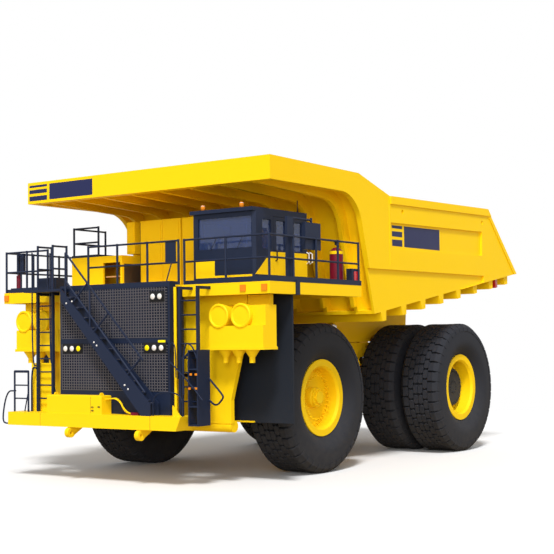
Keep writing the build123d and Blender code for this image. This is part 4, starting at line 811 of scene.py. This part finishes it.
# %% Wipers, grab rails, handle and antenna
wiper_line = np.array(((0, 0, 0), (0.01, 0.1, 0.14), (0.01, 0.18, 0.28)))
wipers = [carried(wiper_line + (screen_face + 0.012, y, 5.0), 0.006) for y in (1.95, 2.65)]
add_piece("wipers", joined(*wipers), "trim")


def grab_rail(x, out, low=4.75, high=5.0, bend=0.03, radius=0.016):
    """Hand rail on the cab's left wall, bent out from it at its two ends."""
    wall = cab_face - 0.01
    return carried(
        [(x, wall, low), (x, wall + out, low + bend), (x, wall + out, high - bend), (x, wall, high)], radius
    )


grabs = [grab_rail(x, 0.07) for x in station(7.14, 7.27)]
add_piece("cab_grab_rails", joined(*grabs), "white_paint")
add_piece("door_handle", grab_rail(door_high[0] - 0.07, 0.05), "trim", "cab_door")
antenna_foot = np.array((roof_low[0] + 0.15, roof_high[1] - 0.15, roof_high[2] - 0.01))
antenna_line = antenna_foot + ((0, 0, 0.05), (0, 0, 0.18), (-0.01, 0, 0.3))
antenna_socket = turned(((0, 0.03), (0.05, 0.03), (0.06, 0.012)), antenna_foot, (0, 0, 1), steps=12)
add_piece("antenna", joined(antenna_socket, carried(antenna_line, 0.012, steps=8)), "trim")

# %% [markdown]
# ## Driver's seat
# A seat is foam under cloth: full in the middle and soft at every edge. A box with rounded edges would
# still look hard, so each pad is a superellipsoid, the surface where |x|, |y| and |z| to a power add to one.


# %% Seat pads
def pad(low, high, power=0.38, crown_height=0.25, steps=48):
    """Pad in a box: signed powers of the cosines and sines of longitude and latitude, scaled to the box,
    with the middle of its top and bottom raised."""
    low, high = np.asarray(low, float), np.asarray(high, float)
    longitude = np.linspace(0, 2 * np.pi, steps, endpoint=False)[None, :]
    latitude = np.linspace(-0.495, 0.495, steps // 2)[:, None] * np.pi

    def soft(value):
        return np.sign(value) * np.abs(value) ** power

    unit = np.stack(
        np.broadcast_arrays(
            soft(np.cos(latitude)) * soft(np.cos(longitude)),
            soft(np.cos(latitude)) * soft(np.sin(longitude)),
            soft(np.sin(latitude)),
        ),
        -1,
    )
    crown = crown_height * (1 - unit[..., :1] ** 2) * (1 - unit[..., 1:2] ** 2) * np.sign(unit[..., 2:])
    unit = unit + crown * (0, 0, 1)
    return wound(((low + high) / 2 + unit * (high - low) / 2)[None])


(seat_back, seat_right, seat_foot), (seat_front, seat_left, seat_top) = span("cab_seat")
cushion_top, tuck = seat_foot + 0.16, 0.03
back_front, back_top = seat_back + 0.14, seat_top - 0.18
head_inset, head_thinner = 0.13, 0.01
seat_pads = joined(
    pad((seat_back, seat_right, seat_foot), (seat_front, seat_left, cushion_top)),
    pad((seat_back, seat_right, cushion_top - tuck), (back_front, seat_left, back_top)),
    pad(
        (seat_back + head_thinner, seat_right + head_inset, back_top - tuck),
        (back_front - head_thinner, seat_left - head_inset, seat_top),
    ),
)
seat = add_piece("seat_pads", seat_pads, "seat_cloth", smooth=len(seat_pads[1]))
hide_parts("cab_seat")

# %% [markdown]
# ## Deck furniture
# The cabinets have doors, the retarder box has a shelf in its mouth, the fire bottle has a valve and a
# yellow band, reflectors sit on the boarding steps, and the mirror and the rear locker carry glass and a red
# lens. All are small boxes and turnings, and each is set from the face of the solid that carries it.

# %% Cabinet doors
cabinet_face, _, cabinet_top = span("control_cabinet")[1]
cabinet_fronts = [(-1.70, -1.45, 5.18)]
cabinet_fronts += [(low, high, deck_top) for low, high in ((-1.27, -0.58), (-0.57, -0.02), (0.03, 1.25))]
door_edge = 0.045
doors = [
    slab(
        (cabinet_face - 0.01, cabinet_face + 0.012),
        (low + door_edge, high - door_edge),
        (foot + door_edge, cabinet_top - door_edge),
    )
    for low, high, foot in cabinet_fronts
]
add_piece("cabinet_doors", joined(*doors), "yellow_paint")

# %% Shelf in the mouth of the retarder box
retarder_low, retarder_high = span("retarder_box")
shelf = slab((retarder_low[0] + 0.1, retarder_high[0] - 0.08), (-2.10, -1.58), (4.62, 4.645))
add_piece("retarder_shelf", shelf, "tan_shelf")

# %% Bottle band and valve
bottle_low, bottle_high = span("fire_bottles")
bottle_radius = 0.155
bottle_foot = (bottle_low[0] + bottle_radius, bottle_high[1] - bottle_radius, bottle_low[2])
wrap_radius = bottle_radius + 0.003
wrap = turned(((0.72, wrap_radius), (0.79, wrap_radius)), bottle_foot, (0, 0, 1), steps=48)
add_piece("bottle_band", wrap, "yellow_paint")
valve_profile = ((0.93, 0.035), (1.0, 0.035), (1.0, 0.06), (1.03, 0.06), (1.03, 0.02))
add_piece("bottle_valve", turned(valve_profile, bottle_foot, (0, 0, 1), steps=16), "trim")

# %% Step reflectors, mirror glass and rear lamp
reflector_spots = ((2.255, 2.345), (2.39, 2.345), (2.22, 2.055), (2.387, 2.055))
reflector_lows = np.array([(station(10.35) - 0.002, y - 0.03, z) for y, z in reflector_spots])
reflectors = boxes(reflector_lows, reflector_lows + (0.012, 0.06, 0.045))
add_piece("step_reflectors", reflectors, "amber_lens")
mirror_face = deck_left - 0.164
mirror_glass = slab(station(7.83, 8.37), (mirror_face - 0.004, mirror_face + 0.004), (5.01, 5.53))
add_piece("mirror_glass", mirror_glass, "mirror_glass")
locker_back, locker_left, locker_top = span("deck_lockers")[0][0], *span("deck_lockers")[1][1:]
lens_heights = (locker_top - 0.3, locker_top - 0.06)
rear_lens = slab(
    (locker_back - 0.012, locker_back + 0.005), (locker_left - 0.14, locker_left - 0.02), lens_heights
)
side_lens = slab(
    (locker_back + 0.04, locker_back + 0.2), (locker_left - 0.005, locker_left + 0.012), lens_heights
)
add_piece("deck_rear_lamp", joined(rear_lens, side_lens), "red_lens")

# %% [markdown]
# ## Edges and ends of the deck
# Dished caps close the air drums under the deck, plates hang at its ends, kick plates stand along its edges,
# the mirror's pillar reaches down over the beam, and a panel fills the gate in the front rail. Each cap is a
# profile turned about the drum's axis, and the plates are boxes that overlap the steel which carries them.

# %% Drum caps and hanger plates
drum_height = 3.565
drum_sides = [start + place for start in (-3.43, 2.38) for place in (0.255, 0.825)]
cap_profile = ((-0.004, 0.257), (0.014, 0.257), (0.03, 0.24), (0.03, 0.215), (0.008, 0.195), (0.012, 0.01))
caps = turned(cap_profile, [(station(9.88), y, drum_height) for y in drum_sides], (1, 0, 0), steps=48)
add_piece("drum_caps", caps, "yellow_paint")
hangers = [slab(station(9.30, 9.41), (y, y + 0.57), (3.72, 4.004)) for y in (3.05, -3.62)]
add_piece("deck_hangers", joined(*hangers), "yellow_paint")

# %% Kick plates along the deck's edges
kick_in, kick_out = 0.02, 0.004
kick_heights = (deck_top, deck_top + 0.11)
kick_front = (deck_face - kick_in, deck_face + kick_out)
kick_plates = (
    slab(kick_front, (2.05, deck_left + kick_out), kick_heights),
    slab((deck_low[0], deck_face - kick_in), (deck_left - kick_in, deck_left + kick_out), kick_heights),
    slab(kick_front, (-3.68, -2.42), kick_heights),
)
add_piece("kick_plates", joined(*kick_plates), "navy_paint")

# %% Foot of the mirror's pillar, and the gate's panel and strut
pillar_foot = slab(station(8.77, 8.90), (deck_left - 0.12, deck_left + 0.03), (3.99, 4.30))
add_piece("pillar_foot", pillar_foot, "navy_paint")
gate_panel = slab(station(9.76, 9.785), (1.11, 1.395), (4.735, 5.235))
gate_strut = carried([(station(9.83), 1.16, 4.30), (station(9.80), 1.30, 4.75)], 0.014)
add_piece("gate_panel", joined(gate_panel, gate_strut), "navy_paint")

# %% [markdown]
# ## Stair
# The diagonal stair has an upper rail on struts that stand square to its slope, pale grips on its treads and
# studs at the feet of the struts. One function gives the height of the stair's middle line at any place
# across the truck, so rail and struts follow the slope by themselves, and the grips divide the same line.

# %% Upper rail of the stair and its struts
stair_foot, stair_head = np.array((1.35, 1.5)), np.array((-1.26, deck_top))
stair_run = stair_head - stair_foot
slope = stair_run[1] / stair_run[0]
rail_front, rail_radius = station(10.58), 0.022
guard_height = 0.95
guard_ends = (-0.376, 1.15)
strut_feet = (-0.92, -0.294, 0.619)


def stair_line(y):
    """Height of the stair's middle line at a place across the truck: foot height + slope x distance."""
    return stair_foot[1] + slope * (y - stair_foot[0])


reach = guard_height / (1 + slope**2)
guard_rail = carried([(rail_front, y, stair_line(y) + guard_height) for y in guard_ends], rail_radius)
struts = [
    carried(
        [(rail_front, y, stair_line(y)), (rail_front, y - reach * slope, stair_line(y) + reach)], rail_radius
    )
    for y in strut_feet
]
add_piece("stair_guard", joined(guard_rail, *struts), "navy_paint")

# %% Grips on the treads and studs at the feet of the struts
tread_count = 11
grip_size = (0.22, 0.2, 0.008)
tread_y, tread_z = (stair_foot + stair_run * (np.arange(1, tread_count + 1)[:, None] / (tread_count + 1))).T
grip_lows = np.stack(np.broadcast_arrays(station(10.335), tread_y - grip_size[1] / 2, tread_z + 0.03), -1)
add_piece("tread_grips", boxes(grip_lows, grip_lows + grip_size), "wire")
upper_studs = [(-1.066, 3.925), (-0.893, 3.964)]
lower_studs = [(-0.235, 3.059), (-0.156, 2.986), (0.648, 2.141), (0.743, 2.057)]
stud_places = [(station(10.595), y, z) for y, z in upper_studs + lower_studs]
studs = turned(((0, 0.02), (0.014, 0.02), (0.018, 0.012)), stud_places, (1, 0, 0), steps=10)
add_piece("stair_studs", studs, "lamp_lens")

# %% [markdown]
# ## Hand tubes
# Bent tubes stand by the ladders and at the ends of the bumper, to hold on to while climbing. Each lies in a
# plane across the truck, so a few (y, z) places say all of it. Their corners are cut until they look bent,
# and a circle is carried along the line.


# %% Bent hand tubes
def hand_tube(forward, places, radius=0.016):
    """Tube in a plane across the truck, through (y, z) places with eased corners."""
    return carried(eased([(station(forward), y, z) for y, z in places]), radius)


hand_tubes = [
    hand_tube(9.98, [(2.43, 2.28), (2.79, 1.94), (2.81, 1.87), (2.62, 1.69), (2.43, 1.83)], 0.02),
    hand_tube(10.4, [(-2.90, 1.97), (-3.20, 1.96), (-3.36, 1.28), (-3.20, 1.20), (-2.90, 1.28)], 0.018),
    hand_tube(10.25, [(-2.51, 5.14), (-2.51, 2.56), (-2.36, 2.54)]),
    hand_tube(10.25, [(-2.36, 2.48), (-2.53, 2.52), (-2.53, 1.50)], 0.022),
    hand_tube(10.25, [(-1.93, 5.10), (-1.93, 2.64), (-1.86, 2.58)]),
    hand_tube(10.33, [(2.04, 1.95), (2.04, 3.0), (2.26, 3.0), (2.40, 2.70)]),
    hand_tube(10.3, [(1.63, 2.30), (1.63, 3.02), (1.81, 3.02), (1.81, 2.30)], 0.012),
    hand_tube(10.4, [(1.73, 2.63), (1.94, 2.46), (2.31, 2.14), (2.60, 1.84)], 0.014),
    hand_tube(10.5, [(1.345, 1.50), (1.345, 2.0), (2.14, 2.0), (2.15, 1.50)], 0.014),
    hand_tube(10.43, [(-2.45, 1.97), (-2.57, 1.51)], 0.014),
]
add_piece("hand_tubes", joined(*hand_tubes), "navy_paint")

# %% [markdown]
# ## Battery box, painted shade and a panel lip
# Three short leads run from the battery box to a red switch, and dark seams and latches mark its lid and the
# bumper's joints. The leads are held at both ends, so they are fixed tubes along one line, set wider from
# lead to lead. Thin dark plates beside the cabinets are painted shade, and a yellow lip ends the left mud
# panel.

# %% Leads, switch, seams and latches
lead_line = ((-0.05, 1.82), (0.3, 1.86), (0.5, 1.53), (0.85, 1.53))
leads = [
    carried(eased([(station(forward), y * spread, z) for y, z in lead_line]), 0.014)
    for forward, spread in ((10.34, 0.8), (10.40, 1.0), (10.46, 1.1))
]
add_piece("battery_leads", joined(*leads), "yellow_paint")
add_piece("battery_switch", slab(station(10.45, 10.52), (0.74, 0.95), (1.495, 1.56)), "red_paint")

battery_face, bumper_face = span("battery_box")[1][0], span("front_bumper")[1][0]
seam_width = 0.006
seam_spots = [(battery_face, -0.374, (1.52, 1.88))]
seam_spots += [(bumper_face, y, (1.21, 1.49)) for y in (-1.90, 1.34)]
lid_seams = [
    slab((front - 0.01, front + 0.002), (y, y + seam_width), heights) for front, y, heights in seam_spots
]
latch_lows = [(battery_face - 0.01, y, z) for y, z in ((-0.34, 1.645), (-0.34, 1.57), (-0.15, 1.65))]
latches = boxes(latch_lows, np.add(latch_lows, (0.025, 0.06, 0.022)))
add_piece("battery_marks", joined(*lid_seams, latches), "trim")

# %% Painted shade: dark plates in the gaps beside the cabinets
retarder_left = retarder_high[1]
side_shade_plate = slab(station(7.35, 8.23), (retarder_left - 0.01, retarder_left + 0.003), (4.40, 4.93))
slot_shade_plate = slab(station(7.68, 7.70), (-1.449, -1.271), (4.27, 5.94))
add_piece("painted_shade_plates", joined(side_shade_plate, slot_shade_plate), "painted_shade_brown")

# %% Lip of the left mud panel
panel_foot, panel_front = span("mud_panels")[0][2], span("mud_panels")[1][0]
panel_lip = slab((panel_front - 0.005, panel_front + 0.03), (2.13, 2.79), (panel_foot, panel_foot + 0.035))
add_piece("mud_panel_lip", panel_lip, "yellow_paint")

# %% [markdown]
# ## Floor
# A wide pale floor takes the soft shadow. Far from the truck the floor turns into the plain white of the
# sky for camera rays only, so no horizon shows and no extra light falls on the truck. Rays that bounce up
# from it meet a duller, warmer floor, as they would between the real truck and the ground under it.

# %% Floor
floor_half = 200.0
floor_bounce, floor_seen = (0.5, 0.40, 0.26, 1), (0.9, 0.9, 0.9, 1)
fade_start, fade_end = 8.0, 22.0
floor_points = np.array([(-1, -1, 0), (1, -1, 0), (1, 1, 0), (-1, 1, 0)], float) * floor_half
floor_mesh = bpy.data.meshes.new("studio_floor")
floor_mesh.from_pydata(floor_points.tolist(), [], [(0, 1, 2, 3)])
studio_floor = add_object("studio_floor", floor_mesh)
floor_material = bpy.data.materials.new("studio_floor")
floor_material.use_nodes = True
floor_tree = floor_material.node_tree
floor_shader = floor_tree.nodes["Principled BSDF"]
floor_shader.inputs["Roughness"].default_value = 0.9
floor_nodes = add_nodes(
    floor_tree,
    {
        "place": ("ShaderNodeTexCoord", {}, {}),
        "reach": ("ShaderNodeVectorMath", {"operation": "LENGTH"}, {}),
        "fade": (
            "ShaderNodeMapRange",
            {"interpolation_type": "SMOOTHSTEP"},
            {"From Min": fade_start, "From Max": fade_end},
        ),
        "rays": ("ShaderNodeLightPath", {}, {}),
        "seen": math_node("MULTIPLY"),
        "white": ("ShaderNodeEmission", {}, {"Color": (1, 1, 1, 1), "Strength": 1.0}),
        "shade": ("ShaderNodeMix", {"data_type": "RGBA"}, {6: floor_bounce, 7: floor_seen}),
        "mix": ("ShaderNodeMixShader", {}, {}),
    },
)
floor_links = (
    ("rays", "Is Camera Ray", "shade", 0),
    ("place", "Object", "reach", 0),
    ("reach", "Value", "fade", "Value"),
    ("fade", "Result", "seen", 0),
    ("rays", "Is Camera Ray", "seen", 1),
    ("seen", 0, "mix", 0),
    ("white", 0, "mix", 2),
)
link_nodes(floor_tree, floor_nodes, floor_links)
floor_tree.links.new(floor_nodes["shade"].outputs[2], floor_shader.inputs["Base Color"])
floor_tree.links.new(floor_shader.outputs[0], floor_nodes["mix"].inputs[1])
floor_tree.links.new(floor_nodes["mix"].outputs[0], floor_tree.nodes["Material Output"].inputs["Surface"])
floor_mesh.materials.append(floor_material)

# %% [markdown]
# ## Sky and suns
# The sky is white where it is seen, mirrored or looked at through glass, and dimmer as a light. A high sun
# gives the shadow, and a low one from the front fills the faces towards the camera. Area lamps would light
# near parts more than far ones, and suns light a truck of this length evenly.

# %% Sky and suns
sky_light, sky_seen = 0.42, 1.0
world = bpy.data.worlds.new("studio_sky")
bpy.context.scene.world = world
world.use_nodes = True
sky_tree = world.node_tree
sky = add_nodes(
    sky_tree,
    {
        "rays": ("ShaderNodeLightPath", {}, {}),
        "either": math_node("MAXIMUM"),
        "any": math_node("MAXIMUM"),
        "strength": ("ShaderNodeMapRange", {}, {"To Min": sky_light, "To Max": sky_seen}),
    },
)
sky_links = (
    ("rays", "Is Camera Ray", "either", 0),
    ("rays", "Is Glossy Ray", "either", 1),
    ("either", 0, "any", 0),
    ("rays", "Is Transmission Ray", "any", 1),
    ("any", 0, "strength", "Value"),
)
link_nodes(sky_tree, sky, sky_links)
sky_tree.nodes["Background"].inputs["Color"].default_value = (1, 1, 1, 1)
sky_tree.links.new(sky["strength"].outputs["Result"], sky_tree.nodes["Background"].inputs["Strength"])

suns = {
    "key_sun": (3.0, 0.2, (-0.52, -0.36, -0.77)),
    "fill_sun": (1.3, 0.5, (-0.84, -0.50, -0.20)),
}
for name, (energy, angle, direction) in suns.items():
    sun_data = bpy.data.lights.new(name, "SUN")
    sun_data.energy = energy
    sun_data.angle = angle
    sun = add_object(name, sun_data)
    sun.rotation_euler = Vector(direction).to_track_quat("-Z", "Y").to_euler()

# %% [markdown]
# ## Camera
# The camera stands low, in front of the truck and to its left. Its place, angles and focal length were solved
# from the lines of the picture, so its axes are worked out from yaw, pitch and roll instead of by hand.

# %% Camera
image_size = 554
focal_pixels = 1219.985
camera_place = (26.084, 18.259, 3.048)
yaw, pitch, roll = np.radians((215.1175, 2.965, -0.792))
ahead = np.array((np.cos(pitch) * np.cos(yaw), np.cos(pitch) * np.sin(yaw), np.sin(pitch)))
level = np.array((np.sin(yaw), -np.cos(yaw), 0))
raised = np.cross(level, ahead)
right = level * np.cos(roll) + raised * np.sin(roll)
up = raised * np.cos(roll) - level * np.sin(roll)
axes = np.identity(4)
axes[:3] = np.stack([right, up, -ahead, camera_place], -1)
camera_data = bpy.data.cameras.new("camera")
camera_data.sensor_width = 36
camera_data.lens = camera_data.sensor_width * focal_pixels / image_size
camera_data.clip_end = 500
camera = add_object("camera", camera_data)
camera.matrix_world = Matrix(axes.tolist())
print("camera lens:", round(camera_data.lens, 2), "mm")
bpy.context.scene.camera = camera
bpy.context.scene.view_settings.view_transform = "Standard"
